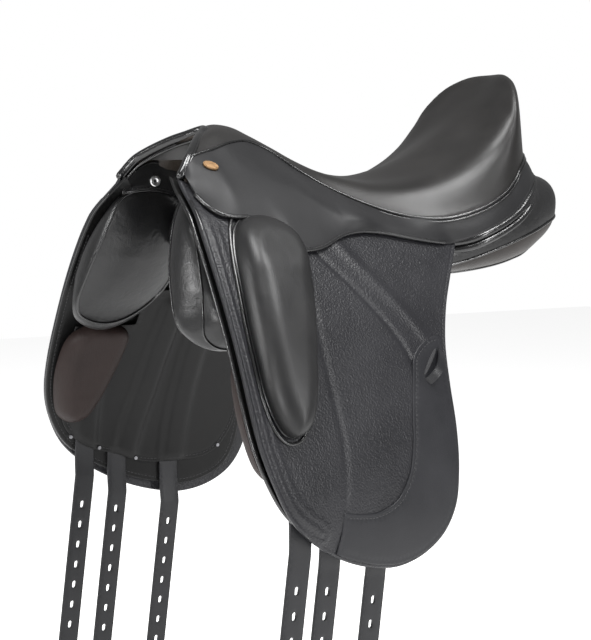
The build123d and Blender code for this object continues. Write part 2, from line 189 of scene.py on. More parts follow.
def inside(points, loop):
    """True for each point inside a closed loop."""
    a, b = loop, np.roll(loop, -1, 0)
    hit = np.zeros(len(points), bool)
    for (ax, ay), (bx, by) in zip(a, b):
        if ay == by:
            continue
        crosses = (ay > points[:, 1]) != (by > points[:, 1])
        hit ^= crosses & (points[:, 0] < (bx - ax) * (points[:, 1] - ay) / (by - ay) + ax)
    return hit


def moved_in(loop, by):
    """Loop moved inwards, with the folds that this makes at tight corners."""
    t = np.roll(loop, -1, 0) - np.roll(loop, 1, 0)
    n = unit_rows(np.column_stack([-t[:, 1], t[:, 0]]))
    moved = loop + n * by
    return moved if inside(moved, loop).mean() >= 0.5 else loop - n * by


def inset(loop, by):
    """Loop moved inwards, without the points that would fold over."""
    moved = moved_in(loop, by)
    return moved[inside(moved, loop) & (distance_to(moved, loop) > by * 0.94)]


def loop_part(loop, by, start, end):
    """Stretch of a loop moved inwards, between two points given as (y, z)."""
    a = int(np.argmin(np.linalg.norm(loop - start, axis=1)))
    b = int(np.argmin(np.linalg.norm(loop - end, axis=1)))
    index = np.arange(a, b + 1) if a <= b else np.concatenate([np.arange(a, len(loop)), np.arange(b + 1)])
    part = moved_in(loop, by)[index]
    part = part[distance_to(part, loop) > by * 0.9]
    return smooth_through(part[::2], len(part)) if len(part) > 12 else part


# ---- meshes ------------------------------------------------------------------------------
def region(loop, step, rings=(), holes=()):
    """Even triangles over a flat region, with rings of points beside its edge."""
    points, edges, start = [], [], 0
    for border in (loop, *holes):
        points.append(border)
        edges += [(start + i, start + (i + 1) % len(border)) for i in range(len(border))]
        start += len(border)
    for ring in rings:
        thin = 1 if step < 3 or ring <= 1.2 else 2      # wide rings of a coarse mesh keep every second point
        points.append(inset(loop, ring)[::thin])
    low, high = loop.min(0), loop.max(0)
    grid = np.array([
        (y, z) for k, z in enumerate(np.arange(low[1], high[1], step * 0.866))
        for y in np.arange(low[0] + (k % 2) * step / 2, high[0], step)
    ])
    away = (rings[-1] if rings else 0) + step * 0.55
    grid = grid[inside(grid, loop)]
    grid = grid[distance_to(grid, loop) > away]
    for hole in holes:
        grid = grid[~inside(grid, hole) & (distance_to(grid, hole) > 0.8)]
    flat = np.vstack(points + [grid])
    made = geometry.delaunay_2d_cdt([Vector(p) for p in flat], edges, [], 1, 1e-4)
    flat = np.array([(v.x, v.y) for v in made[0]])
    faces = np.array(made[2], int)
    for hole in holes:
        faces = faces[~inside(flat[faces].mean(1), hole)]
    a, b, c = flat[faces[:, 0]], flat[faces[:, 1]], flat[faces[:, 2]]
    area = (b - a)[:, 0] * (c - a)[:, 1] - (b - a)[:, 1] * (c - a)[:, 0]
    faces = faces[np.abs(area) > 1e-5]
    area = area[np.abs(area) > 1e-5]
    faces[area < 0] = faces[area < 0][:, ::-1]
    used = np.unique(faces)
    index = -np.ones(len(flat), int)
    index[used] = np.arange(len(used))
    return flat[used], index[faces]


def border_edges(faces):
    """Edges that only one face uses, in that face's direction."""
    seen = {}
    for f in faces:
        for a, b in zip(f, list(f[1:]) + [f[0]]):
            seen.setdefault((min(a, b), max(a, b)), []).append((a, b))
    return [v[0] for v in seen.values() if len(v) == 1]


def closed_between(top, bottom, faces):
    """Solid from two layers with the same faces, joined along the border."""
    n = len(top)
    faces = [tuple(int(i) for i in f) for f in faces]
    out = faces + [tuple(i + n for i in f[::-1]) for f in faces]
    out += [(b, a, a + n, b + n) for a, b in border_edges(faces)]
    return np.vstack([top, bottom]), out


def grid_faces(rows, cols, wrap=False):
    """Four-sided faces over a grid of points, also between its last and first column if wrap."""
    span = cols if wrap else cols - 1
    return [
        (r * cols + c, r * cols + (c + 1) % cols, (r + 1) * cols + (c + 1) % cols, (r + 1) * cols + c)
        for r in range(rows - 1) for c in range(span)
    ]


def around(rows, sides):
    """Faces that join the last ring to the first."""
    last = (rows - 1) * sides
    return [(last + c, last + (c + 1) % sides, (c + 1) % sides, c) for c in range(sides)]


def caps(rows, sides):
    """One face over the first ring and one over the last."""
    last = (rows - 1) * sides
    return [tuple(range(sides))[::-1], tuple(range(last, last + sides))]


def ring_faces(rows, sides, closed=False):
    """Faces of a closed form through rings of points, capped unless its last ring meets the first."""
    ends = around(rows, sides) if closed else caps(rows, sides)
    return grid_faces(rows, sides, wrap=True) + ends


def turned(faces, turn=True):
    """Faces with their other side out."""
    return [tuple(f[::-1]) for f in faces] if turn else faces


def normals_of(points, faces):
    """Unit normal at each point, averaged over its faces."""
    n = np.zeros_like(points)
    for f in faces:
        a, b, c = points[f[0]], points[f[1]], points[f[2]]
        m = np.cross(b - a, c - a)
        if len(f) == 4:
            m = m + np.cross(c - a, points[f[3]] - a)
        for i in f:
            n[i] += m
    return unit_rows(n)


def thickened(points, faces, thickness):
    """Solid from a surface, with its other face thickness behind it."""
    return closed_between(points, points - normals_of(points, faces) * thickness, faces)


def tube(path, radius, sides=10, closed=False):
    """Round cord of leather along a path, with domed ends. radius may vary along it."""
    path = np.asarray(path, float)
    n = len(path)
    radius = np.broadcast_to(np.asarray(radius, float), n).copy()
    t = unit_rows(np.roll(path, -1, 0) - np.roll(path, 1, 0) if closed else np.gradient(path, axis=0))
    side = unit(np.cross(t[0], [0.3, 0.2, 0.9]))
    frames = []
    for i in range(n):
        side = unit(side - t[i] * (side @ t[i]))
        frames.append((side, np.cross(t[i], side)))
    angles = np.linspace(0, 2 * math.pi, sides, endpoint=False)
    rings = []
    stations = [(i, 0.0, 1.0) for i in range(n)]
    if not closed:
        dome = [(0.92, 0.4), (0.6, 0.8)]
        stations = [(0, -a, b) for a, b in dome] + stations + [(n - 1, a, b) for a, b in dome[::-1]]
    for i, push, scale in stations:
        a, b = frames[i]
        centre = path[i] + t[i] * push * radius[i]
        rings.append([centre + radius[i] * scale * (a * math.cos(w) + b * math.sin(w)) for w in angles])
    return np.array(rings).reshape(-1, 3), turned(ring_faces(len(rings), sides, closed))


THREAD_RADIUS = 0.42


def stitches(path, normal, pitch=4.6, length=3.3):
    """Row of thread stitches lying along a path."""
    run = run_of(path)
    at = np.arange(pitch / 2, run[-1], pitch)
    centre, up = read_at(at, run, path), unit_rows(read_at(at, run, normal))
    t = unit_rows(read_at(at + 0.5, run, path) - centre)
    b = np.cross(t, up)
    sides = 6
    profile = ((-0.5, 0.35), (-0.42, 0.8), (-0.2, 1.0), (0.2, 1.0), (0.42, 0.8), (0.5, 0.35))
    rings = []
    for u, thick in profile:        # place along the stitch, and thickness there
        for k in range(sides):
            w = 2 * math.pi * k / sides
            lift = THREAD_RADIUS * (thick * math.sin(w) + 0.35 - 1.2 * u ** 2)
            aside = THREAD_RADIUS * thick * math.cos(w)
            rings.append(centre + t * (u * length) + b * aside + up * lift)
    points = np.stack(rings, 1)
    local = ring_faces(len(profile), sides)
    count = len(profile) * sides
    faces = [tuple(i + k * count for i in f) for k in range(len(at)) for f in local]
    return points.reshape(-1, 3), faces


def joined(*solids):
    """Several solids as one piece."""
    points, faces, start = [], [], 0
    for p, f in solids:
        points.append(p)
        faces += [tuple(int(i) + start for i in g) for g in f]
        start += len(p)
    return np.vstack(points), faces


def mirrored(solid):
    """Mirror image on the other side of the middle plane."""
    p, f = solid
    return p * (-1, 1, 1), turned(f)


SIDES = (("left", 1), ("right", -1))


def on_side(solid, sign):
    """The solid itself on the left, its mirror image on the right."""
    return solid if sign > 0 else mirrored(solid)


def make(name, solid, material, slot, body=None, replaces=(), second=None, pick=None):
    """Mesh object from a solid in millimetres. pick says which faces take the second material."""
    p, f = solid
    mesh = bpy.data.meshes.new(name)
    mesh.from_pydata((np.asarray(p) * MM).tolist(), [], [tuple(int(i) for i in g) for g in f])
    mesh.validate()
    mesh.polygons.foreach_set("use_smooth", [True] * len(mesh.polygons))
    mesh.set_sharp_from_angle(angle=math.radians(60))
    mesh.materials.append(material)
    if second is not None:
        mesh.materials.append(second)
        for polygon in mesh.polygons:
            polygon.material_index = int(pick(np.array(polygon.center) / MM))
    obj = bpy.data.objects.new(name, mesh)
    bpy.context.scene.collection.objects.link(obj)
    if body:
        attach(obj, body)
    if replaces:
        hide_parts(*replaces)
    return obj


def pair(name, solid, material, slot, body, replaces=(), fill=None, **more):
    """The left piece and its mirror image. body and replaces are given without the side."""
    made = []
    for side, sign in SIDES:
        rides = body if body == "saddle" else f"{body}_{side}"
        obj = make(f"vis_{name}_{side}", on_side(solid, sign), material, slot, rides,
                   [f"{node}_{side}" for node in replaces], **more)
        made.append(obj)
    return made


# ---- materials ---------------------------------------------------------------------------
def nodes_of(name):
    """New material with its node tree and shader."""
    material = bpy.data.materials.new(name)
    material.use_nodes = True
    return material, material.node_tree, material.node_tree.nodes["Principled BSDF"]


def add(tree, kind, source=None, **values):
    """New node with these inputs or settings, and its Vector fed from source."""
    node = tree.nodes.new(kind)
    for key, value in values.items():
        if key in node.inputs:
            node.inputs[key].default_value = value
        else:
            setattr(node, key, value)
    if source is not None:
        tree.links.new(source, node.inputs["Vector"])
    return node


def places(tree, stretch):
    """Object coordinates, plain and stretched."""
    plain = tree.nodes.new("ShaderNodeTexCoord").outputs["Object"]
    return plain, add(tree, "ShaderNodeMapping", plain, Scale=stretch).outputs["Vector"]


def ramp(tree, source, low, high):
    """Noise value spread over the range from low to high."""
    node = tree.nodes.new("ShaderNodeMapRange")
    for key, value in (("From Min", 0.3), ("From Max", 0.7), ("To Min", low), ("To Max", high)):
        node.inputs[key].default_value = value
    tree.links.new(source, node.inputs["Value"])
    return node.outputs["Result"]


def two_tones(tree, shader, source, dark, light):
    """Base colour that runs from dark to light with the source."""
    mix = add(tree, "ShaderNodeMix", data_type="RGBA")
    mix.inputs["A"].default_value = (*dark, 1)
    mix.inputs["B"].default_value = (*light, 1)
    tree.links.new(ramp(tree, source, 0.0, 1.0), mix.inputs["Factor"])
    tree.links.new(mix.outputs["Result"], shader.inputs["Base Color"])


def bump(tree, height, strength, distance, under=None):
    """Normal with this relief, on top of the one under it."""
    node = add(tree, "ShaderNodeBump", Strength=strength, Distance=distance)
    tree.links.new(height, node.inputs["Height"])
    if under is not None:
        tree.links.new(under, node.inputs["Normal"])
    return node.outputs["Normal"]


def leather(name, dark, light, rough, pebble, pebble_scale, wrinkle, wrinkle_scale, specular,
            stretch=(1, 1, 1)):
    """Dyed leather: uneven colour, a pore or pebble grain, soft creases and worn gloss."""
    material, tree, shader = nodes_of(name)
    plain, stretched = places(tree, stretch)
    cloud = add(tree, "ShaderNodeTexNoise", plain, Scale=14.0, Detail=4.0, Roughness=0.6).outputs["Fac"]
    two_tones(tree, shader, cloud, dark, light)
    tree.links.new(ramp(tree, cloud, rough - 0.05, rough + 0.06), shader.inputs["Roughness"])
    shader.inputs["Specular IOR Level"].default_value = specular
    cell = add(tree, "ShaderNodeTexVoronoi", plain, Scale=pebble_scale, feature="SMOOTH_F1")
    pore = add(tree, "ShaderNodeTexNoise", plain, Scale=pebble_scale * 0.8, Detail=3.0)
    crease = add(tree, "ShaderNodeTexNoise", stretched, Scale=wrinkle_scale, Detail=5.0, Roughness=0.55,
                 Distortion=0.6)
    fine = bump(tree, cell.outputs["Distance"], min(1.0, 0.12 + pebble), 0.0006)
    grain = bump(tree, pore.outputs["Fac"], 0.10, 0.0003, fine)
    soft = bump(tree, crease.outputs["Fac"], wrinkle, 0.002, grain)
    tree.links.new(soft, shader.inputs["Normal"])
    return material


def metal(name, colour, rough, scratch=0.06, scale=500.0):
    """Plated metal with fine brushed scratches."""
    material, tree, shader = nodes_of(name)
    stretched = places(tree, (1, 6, 1))[1]
    noise = add(tree, "ShaderNodeTexNoise", stretched, Scale=scale, Detail=4.0).outputs["Fac"]
    shader.inputs["Base Color"].default_value = (*colour, 1)
    shader.inputs["Metallic"].default_value = 1.0
    tree.links.new(ramp(tree, noise, rough, rough + 0.12), shader.inputs["Roughness"])
    tree.links.new(bump(tree, noise, scratch, 0.0003), shader.inputs["Normal"])
    return material


def matte(name, dark, light, scale, rough, stretch=(1, 1, 1), strength=0.4):
    """Thread, webbing or wood: two tones over a stretched noise, with bump."""
    material, tree, shader = nodes_of(name)
    noise = add(tree, "ShaderNodeTexNoise", places(tree, stretch)[1], Scale=scale, Detail=5.0).outputs["Fac"]
    two_tones(tree, shader, noise, dark, light)
    tree.links.new(ramp(tree, noise, rough - 0.1, rough), shader.inputs["Roughness"])
    tree.links.new(bump(tree, noise, strength, 0.0005), shader.inputs["Normal"])
    return material


# Each leather: dark and light tone, roughness, pebble depth and scale, crease depth and scale,
# specular level, and the stretch of its creases.
SEAT = leather("seat_leather", (0.0090, 0.0086, 0.0084), (0.0125, 0.0118, 0.0114), 0.37,
               0.03, 1400, 0.04, 30, 0.26)
SKIRT = leather("skirt_leather", (0.0095, 0.0095, 0.0101), (0.0130, 0.0130, 0.0137), 0.45,
                0.05, 1300, 0.04, 30, 0.20)
CALF = leather("calf_leather", (0.0042, 0.0042, 0.0045), (0.0075, 0.0075, 0.0078), 0.34,
               0.06, 900, 0.34, 90, 0.36)
BLOCK = leather("block_leather", (0.0062, 0.0062, 0.0066), (0.0105, 0.0104, 0.0106), 0.40,
                0.04, 1200, 0.16, 50, 0.30)
FLAP = leather("flap_leather", (0.0085, 0.0085, 0.0100), (0.0125, 0.0125, 0.0145), 0.40,
               0.75, 520, 0.08, 40, 0.26)
PATCH = leather("patch_leather", (0.0085, 0.0087, 0.0103), (0.0130, 0.0131, 0.0152), 0.44,
                0.10, 1200, 0.06, 50, 0.22)
GUARD = leather("guard_leather", (0.0036, 0.0036, 0.0037), (0.0062, 0.0061, 0.0060), 0.36,
                0.04, 1200, 0.12, 40, 0.16)
STRAP = leather("strap_leather", (0.0085, 0.0087, 0.0100), (0.0130, 0.0131, 0.0145), 0.40,
                0.12, 1000, 0.10, 80, 0.25)
KNEE = leather("knee_leather", (0.0125, 0.0080, 0.0072), (0.0195, 0.0130, 0.0118), 0.50,
               0.15, 900, 0.30, 110, 0.14, (1, 4, 0.6))
LINING = leather("lining_leather", (0.0125, 0.0092, 0.0070), (0.0260, 0.0205, 0.0160), 0.42,
                 0.10, 900, 0.55, 120, 0.25, (1, 3, 0.5))
WELT = leather("welt_leather", (0.0048, 0.0048, 0.0051), (0.0085, 0.0085, 0.0088), 0.20,
               0.04, 1100, 0.12, 120, 0.5)
EDGE = leather("edge_leather", (0.0070, 0.0070, 0.0074), (0.0105, 0.0105, 0.0110), 0.27,
               0.04, 1100, 0.10, 80, 0.5)
GUSSET = leather("gusset_leather", (0.0085, 0.0062, 0.0050), (0.0135, 0.0105, 0.0088), 0.42,
                 0.06, 1000, 0.15, 50, 0.22)
THREAD = matte("black_thread", (0.008, 0.008, 0.009), (0.022, 0.022, 0.024), 2500, 0.55)
WEBBING = matte("tree_webbing", (0.40, 0.37, 0.30), (0.60, 0.56, 0.48), 900, 0.9, (1, 8, 1))
TREE = matte("varnished_tree", (0.060, 0.036, 0.020), (0.120, 0.078, 0.045), 60, 0.45, (8, 1, 8), 0.15)
STEEL = metal("plated_steel", (0.62, 0.62, 0.62), 0.24)
RIVET = metal("dull_rivet", (0.20, 0.20, 0.21), 0.5)
BRASS = metal("badge_brass", (0.17, 0.105, 0.055), 0.45, 0.5, 1400)


# ---- seat --------------------------------------------------------------------------------
# Rows of the seat's left half: from the middle over the shoulder out to the seam, (x, y, z).
# The first row is the cut-back front edge; behind the cantle's ridge the rows fan round to the
# middle of the rear seam.
SEAT_ROWS = [
    ((0, -176, 119.5), (14, -185, 115), (40, -209, 103.5), (65, -228, 86)),
    ((0, -166, 121.5), (14, -172, 119.5), (37, -188, 111), (58.5, -200, 93.5)),
    ((0, -148, 118.5), (12, -151, 118), (31, -162, 112), (49, -173, 101)),
    ((0, -126, 109), (10, -128, 109.3), (24, -136, 107.5), (38, -146, 102.7)),
    ((0, -100, 96.5), (11, -101, 96.7), (24, -107, 95.5), (36, -120, 94)),
    ((0, -76, 84), (17, -76, 83), (33, -79, 79.5), (48, -86, 70.5)),
    ((0, -50, 73), (25, -50, 71), (49, -50, 65.5), (68, -50, 48)),
    ((0, 8, 66), (36, 8, 61.5), (71, 8, 52), (99, 8, 24)),
    ((0, 60, 76.5), (44, 60, 68), (87, 60, 55), (115, 60, 18)),
    ((0, 110, 97), (48, 111, 87.5), (94, 112, 74), (121, 112, 29)),
    ((0, 155, 126), (49, 154, 116), (97, 149, 97), (117, 150, 46)),
    ((0, 188, 156), (48, 184, 151), (95, 175, 126), (109.5, 171, 61)),
    ((0, 207, 176), (45, 201, 172), (88, 189, 150), (102, 185, 74.5)),
    ((0, 220, 188.5), (41, 211, 185), (77, 199, 163), (93, 197, 83)),
    ((0, 230, 188), (36, 221, 184), (65, 210, 167), (82, 207, 88.5)),
    ((0, 238, 172), (30, 231, 166), (54, 221, 154), (66, 217.5, 93)),
    ((0, 240.5, 146), (22, 236.5, 143), (39, 229.5, 136), (46, 227, 96.5)),
    ((0, 238.5, 121), (12, 237.3, 120), (21, 235, 117), (24, 233.5, 99.3)),
    ((0, 236, 103), (1.5, 236, 102.6), (3, 236, 101.8), (4, 236, 100.6)),
]


def seat_half():
    """Top of the left half of the seat as a grid, rows from the front edge to the rear seam."""
    rows, cols = 150, 26
    table = []
    for row in SEAT_ROWS:
        row = np.array(row, float)
        ghost = row[:2][::-1] * (-1, 1, 1)
        table.append(smooth_through(np.vstack([ghost[:1], row]), 4 * cols)[cols // 2:])
    fine = []
    for row in table:
        start = int(np.argmin(np.abs(row[:, 0])))
        part = evenly(row[start:], cols)
        part[0, 0] = 0.0
        fine.append(part)
    flat = np.array(fine).reshape(len(fine), -1)
    grid = smooth_through(flat, rows).reshape(rows, cols, 3)
    grid[:, 0, 0] = 0.0
    return grid


def solid_seat():
    """Both halves of the seat's top, closed by an underside just below the seam."""
    top = seat_half()
    full = np.concatenate([top[:, :0:-1] * (-1, 1, 1), top], axis=1)
    low = full.copy()
    seam = full[:, [0, -1], 2].mean(1) - 3.0
    low[:, :, 2] = np.minimum(seam[:, None], full[:, :, 2] - 3.0)
    low[:, :, 1] = np.minimum(low[:, :, 1], 228)        # stays inside the cantle facing
    p, f = closed_between(full.reshape(-1, 3), low.reshape(-1, 3), grid_faces(*full.shape[:2]))
    return p, turned(f)


seat = make("vis_seat", solid_seat(), SEAT, "seat_leather", "saddle", ["seat_cover", "seat_foam"])


# ---- skirt and cantle facing -------------------------------------------------------------
SPLIT = ((-250.0, 56.0), (70.0, -9.0))      # line in the side view where the skirt is cut into its upper and lower piece
# Columns of the skirt: a point on the seat seam or arch, and the point below it on the low edge.
# The front ones lie on the flap; the rear ones carry their own x.
SKIRT_COLUMNS = [
    ((70.5, -244, 69.5), (None, -244, 45)), ((70, -238, 77.5), (None, -240, 34)),
    ((68, -232.5, 82.5), (None, -230.5, 26.3)), ((65, -228, 86), (None, -215, 23.2)),
    ((62, -213, 90.3), (None, -197, 22.5)), ((58.5, -200, 93.5), (None, -180, 20)),
    ((54, -186, 98), (None, -164, 15)), ((49, -173, 101), (None, -152, 0)),
    ((43.5, -159, 102.7), (None, -147, -10.5)), ((38, -146, 102.7), (None, -137, -11.5)),
    ((36, -120, 94), (None, -116, -8.5)), ((48, -86, 70.5), (None, -83, 2.5)),
    ((68, -50, 48), (None, -52, 6)), ((83, -25, 35.5), (None, -22, 3.5)),
    ((97, 5, 24.5), (None, 10, -2)), ((109, 35, 19.5), (None, 42, -6.5)),
    ((115, 60, 18), (118, 68, -8.5)), ((119.5, 90, 21.5), (122, 96, -3)),
    ((121, 112, 29), (124.5, 117, 4.5)), ((119.5, 136, 39), (123.5, 142, 14.5)),
    ((114, 160, 52.5), (119, 168, 28.5)), ((106, 178, 68), (112, 188, 44)),
    ((98, 191.5, 79), (104, 202, 55.5)), ((88, 202, 86.5), (94, 213.5, 63)),
    ((74, 212.5, 91), (80, 224.5, 67.5)), ((56, 223, 95), (60, 235.5, 71.5)),
    ((35, 231, 98), (37, 244, 74)), ((17, 235, 100), (18, 248, 75.5)),
    ((0, 236, 100.5), (0, 249, 76)),
]
SKIRT_DEPTH, SKIRT_THICK = -5.0, 3.4
SETTLE = 48.0                                   # length in which the skirt comes down onto the flap
PUFF, SAG = 3.0, 2.0                            # bulge of a column at the front and at the rear
BAR_Y, BAR_BULGE, BAR_WIDTH = -56, 9.0, 24.0    # extra bulge that clears the stirrup bar
WHOLE = 0.985                                   # from this share on, a column is all fixed skirt


def skirt_columns():
    """Smooth top and bottom ends of the skirt's columns, from the front to the middle of the rear."""
    top = np.array([c[0] for c in SKIRT_COLUMNS], float)
    low = np.array([
        (side_x(c[1][1], c[1][2], SKIRT_DEPTH) if c[1][0] is None else c[1][0], *c[1][1:])
        for c in SKIRT_COLUMNS
    ], float)
    both = smooth_through(np.hstack([top, low]), 190)
    return both[:, :3], both[:, 3:]


TOPS, LOWS = skirt_columns()


def skirt_point(top, low, share):
    """Point of the skirt between a column's two ends."""
    p = top + (low - top) * share
    on = side_x(p[1], p[2], SKIRT_DEPTH)
    off_top = top[0] - side_x(top[1], top[2], SKIRT_DEPTH)
    length = float(np.linalg.norm((low - top)[1:]))
    follows = on + off_top * (1 - fade(share * length / min(SETTLE, 0.78 * length)))
    over_bar = BAR_BULGE * math.exp(-((p[1] - BAR_Y) / BAR_WIDTH) ** 2)
    follows += (PUFF + over_bar) * math.sin(math.pi * min(1, share)) ** 0.8
    straight = p[0] + SAG * math.sin(math.pi * share) * min(1, p[0] / 25)
    rear = float(fade((top[1] - 25) / 60.0))
    return np.array([follows + (straight - follows) * rear, p[1], p[2]])


def split_share(top, low):
    """Share of a column at which it crosses the split line."""
    (y0, z0), (y1, z1) = SPLIT
    slope = (z1 - z0) / (y1 - y0)

    def over(p):
        return p[2] - (z0 + slope * (p[1] - y0))

    a, b = over(top), over(low)
    return float(np.clip(a / (a - b), 0.05, 1)) if b < 0 else 1.0


def skirt_grids():
    """Fixed upper part, lower part and low edge of the skirt."""
    upper, lower, edge = [], [], []
    for top, low in zip(TOPS, LOWS):
        cut = split_share(top, low)
        upper.append([skirt_point(top, low, cut * k / 15) for k in range(16)])
        if cut < WHOLE:
            lower.append([skirt_point(top, low, cut + (1 - cut) * k / 11) for k in range(12)])
        edge.append(skirt_point(top, low, 1.0))
    return np.array(upper), np.array(lower), np.array(edge)


def outward(points, faces):
    """Faces turned so that most normals point away from the middle plane."""
    return turned(faces, normals_of(points, faces)[:, 0].sum() <= 0)


def sheet_of(grid, thickness):
    """Solid sheet with its outer face on a grid of points."""
    p = np.reshape(grid, (-1, 3))
    return thickened(p, outward(p, grid_faces(*np.shape(grid)[:2])), thickness)


def skirt_normals(upper, lower):
    """Outward normals of both parts, shared along the line where they meet."""
    found = []
    for grid in (upper, lower):
        p = grid.reshape(-1, 3)
        found.append(normals_of(p, outward(p, grid_faces(*grid.shape[:2]))).reshape(grid.shape))
    high, low = found
    high[:len(low), -1] = low[:, 0] = unit_rows(high[:len(low), -1] + low[:, 0])
    return high.reshape(-1, 3), low.reshape(-1, 3)


def set_normals(obj, normals, sign):
    """Give the outer face of a sheet these normals and leave its other corners as they are."""
    mesh = obj.data
    count = len(normals)
    custom = np.zeros((len(mesh.loops), 3))
    for polygon in mesh.polygons:
        if all(v < count for v in polygon.vertices):
            for corner in polygon.loop_indices:
                custom[corner] = normals[mesh.loops[corner].vertex_index] * (sign, 1, 1)
    mesh.normals_split_custom_set(custom.tolist())


def blend_at_hinge(piece):
    """Bake the transform of a piece of the fixed skirt into its mesh."""
    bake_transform(piece)


def blend_at_split(piece):
    """Bake the transform of a piece of the lower skirt, below the split line, into its mesh."""
    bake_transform(piece)


skirt_upper, skirt_lower, skirt_edge = skirt_grids()
upper_normals, lower_normals = skirt_normals(skirt_upper, skirt_lower)
for side, sign in SIDES:
    upper = make(f"vis_skirt_top_{side}", on_side(sheet_of(skirt_upper, SKIRT_THICK), sign), SKIRT,
                 "seat_leather", None, [f"skirt_top_{side}"] + (["cantle_facing"] if sign > 0 else []))
    set_normals(upper, upper_normals, sign)
    blend_at_hinge(upper)
    lower = make(f"vis_skirt_{side}", on_side(sheet_of(skirt_lower, SKIRT_THICK), sign), SKIRT,
                 "seat_leather", None, [f"skirt_{side}"])
    set_normals(lower, lower_normals, sign)
    blend_at_split(lower)


# ---- flap --------------------------------------------------------------------------------
# Depths of the layers from the flap surface: outer and inner face, or base and height of a pad.
FLAP_IN = 5.0
SWEAT_OUT, SWEAT_IN = 10.0, 14.0
GUARD_OUT, GUARD_IN, OVER_BILLET = 18.9, 21.4, 5.0
PATCH_OUT, PATCH_IN = -2.0, -0.1
BLOCK_BASE, BLOCK_HEIGHT = -0.4, 29.0
KNEE_BASE, KNEE_HEIGHT, KNEE_REACH = 21.8, 25.0, 18.0

FLAP_LOOP = outline(
    ("smooth", [(-248, 62), (-254, 40), (-259, 12), (-263, -90), (-262, -190), (-250, -233),
                (-232, -266), (-200, -294), (-157, -317), (-118, -329), (-85, -333), (-50, -326),
                (-20, -308), (-2, -281), (5, -245), (8, -200), (9, -155), (15, -115), (31, -77),
                (54, -43), (80, -10)]),
    ("straight", [(80, -10), (78, -2), (40, 0), (10, 4), (-22, 9), (-56, 12), (-60, 7), (-150, 7),
                  (-152, 32), (-215, 40), (-248, 62)]),
    step=2.6,
)
# Lines in the flap's relief: grooves and ridge by the keeper, a crease, and the bead in front.
GROOVE = smooth_through([(-130, -8), (-113, -28), (-96, -47), (-78, -69), (-59, -94), (-48, -112),
                         (-41, -128), (-39, -140)], 60)
RIDGE = smooth_through([(-98, 0), (-78, -26), (-56, -52), (-37, -74), (-18, -98), (-10, -111)], 60)
CREASE = smooth_through([(-151, -40), (-155, -80), (-157, -105), (-157, -167), (-156, -196),
                         (-158, -224), (-163, -262)], 60)
CHANNEL = smooth_through([(-239, 60), (-247, 20), (-251, -20), (-253.5, -60), (-254, -150), (-249, -205),
                          (-229, -254), (-196, -281)], 90)


def hump(distance, height, width):
    """Smooth ridge of that height beside a line."""
    return height * np.exp(-(distance / width) ** 2)


def rounded(edge, radius):
    """Fall of a face towards a rounded edge of that radius."""
    t = np.clip(edge / radius, 0, 1)
    return radius * (1 - np.sqrt(1 - (1 - t) ** 2))


def layer_solid(loop, step, rings, outer, inner):
    """Solid on the flap surface. outer and inner give depths from (points, distance to edge)."""
    flat, faces = region(loop, step, rings)
    edge = distance_to(flat, loop)
    return closed_between(on_flap(flat, outer(flat, edge)), on_flap(flat, inner(flat, edge)), faces)


def flap_outer(flat, edge):
    """Depth of the flap's outer face, with its rolled edge, grooves and ridges."""
    depth = rounded(edge, 1.8)
    depth = depth + hump(edge - 4.6, 0.5, 1.1)
    depth = depth + hump(distance_to(flat, GROOVE, False), 1.7, 3.0)
    depth = depth - hump(distance_to(flat, RIDGE, False), 1.9, 7.0)
    depth = depth + hump(distance_to(flat, CREASE, False), 1.0, 4.0)
    front = distance_to(flat, CHANNEL, False)
    bare = fade((18 - flat[:, 1]) / 16)
    depth = depth - (hump(front, 2.2, 3.8) + hump(front - 8.5, 1.2, 3.0)) * (0.25 + 0.75 * bare)
    wave = np.sin(flat[:, 0] * 0.028 + 0.7) * np.sin(flat[:, 1] * 0.021 + 1.1)
    return depth - 0.7 * (wave + 1) * fade(edge / 40) * bare


RINGS = (0.35, 0.9, 1.7, 2.6, 4.0, 5.4, 6.6, 7.5, 8.4, 9.6, 11.5)
flap = layer_solid(FLAP_LOOP, 2.7, RINGS, flap_outer, lambda f, e: FLAP_IN - rounded(e, 1.8))
pair("flap", flap, FLAP, "flap_leather", "flap", ["flap"])

SWEAT_LOOP = outline(
    ("smooth", [(-249, 64), (-256, 42), (-261, 12), (-265, -50), (-266, -90), (-264.5, -190),
                (-252, -232), (-233, -262), (-198, -288), (-153, -308), (-118, -317), (-85, -321),
                (-55, -314), (-32, -300), (-18, -275), (-12, -240), (-10, -200), (-8, -155),
                (-3, -105), (2, -60)]),
    ("straight", [(2, -60), (2, -14), (-152, 0), (-154, 34), (-215, 42), (-249, 64)]),
    step=3.0,
)
sweat = layer_solid(SWEAT_LOOP, 5.5, (0.35, 0.9, 1.7, 2.6, 4.4, 5.2, 6.0, 7.5, 9.5),
                    lambda f, e: SWEAT_OUT + rounded(e, 1.4),
                    lambda f, e: SWEAT_IN - rounded(e, 1.4) - hump(e - 5.2, 0.5, 0.8))
pair("sweat_flap", sweat, GUARD, "calf_leather", "flap", ["sweat_flap"])

GUARD_LOOP = outline(
    ("smooth", [(-246, -112), (-249, -150), (-249, -190), (-240, -238), (-214, -264), (-172, -278),
                (-140, -289), (-112, -291), (-85, -290), (-62, -287), (-45, -278), (-31, -260),
                (-22, -238), (-19, -200), (-18, -150), (-20, -70)]),
    ("straight", [(-20, -70), (-168, -70), (-172, -112), (-246, -112)]),
    step=3.0,
)
BILLET_LINES = [np.array(line, float) for line in (
    [(-214, -150), (-214, -262)], [(-128, -95), (-146, -200), (-171, -300)],
    [(-84, -95), (-96, -200), (-106, -310)])]


def guard_inner(flat, edge):
    """Depth of the guard's face, raised over the girth straps that lie under it."""
    depth = GUARD_IN - rounded(edge, 1.0)
    for line in BILLET_LINES:
        beside = distance_to(flat, line, False)
        depth = depth + OVER_BILLET / (1 + np.exp((beside - 14.0) / 1.5)) * fade(edge / 6)
    return depth - hump(edge - 4.5, 0.4, 0.8)


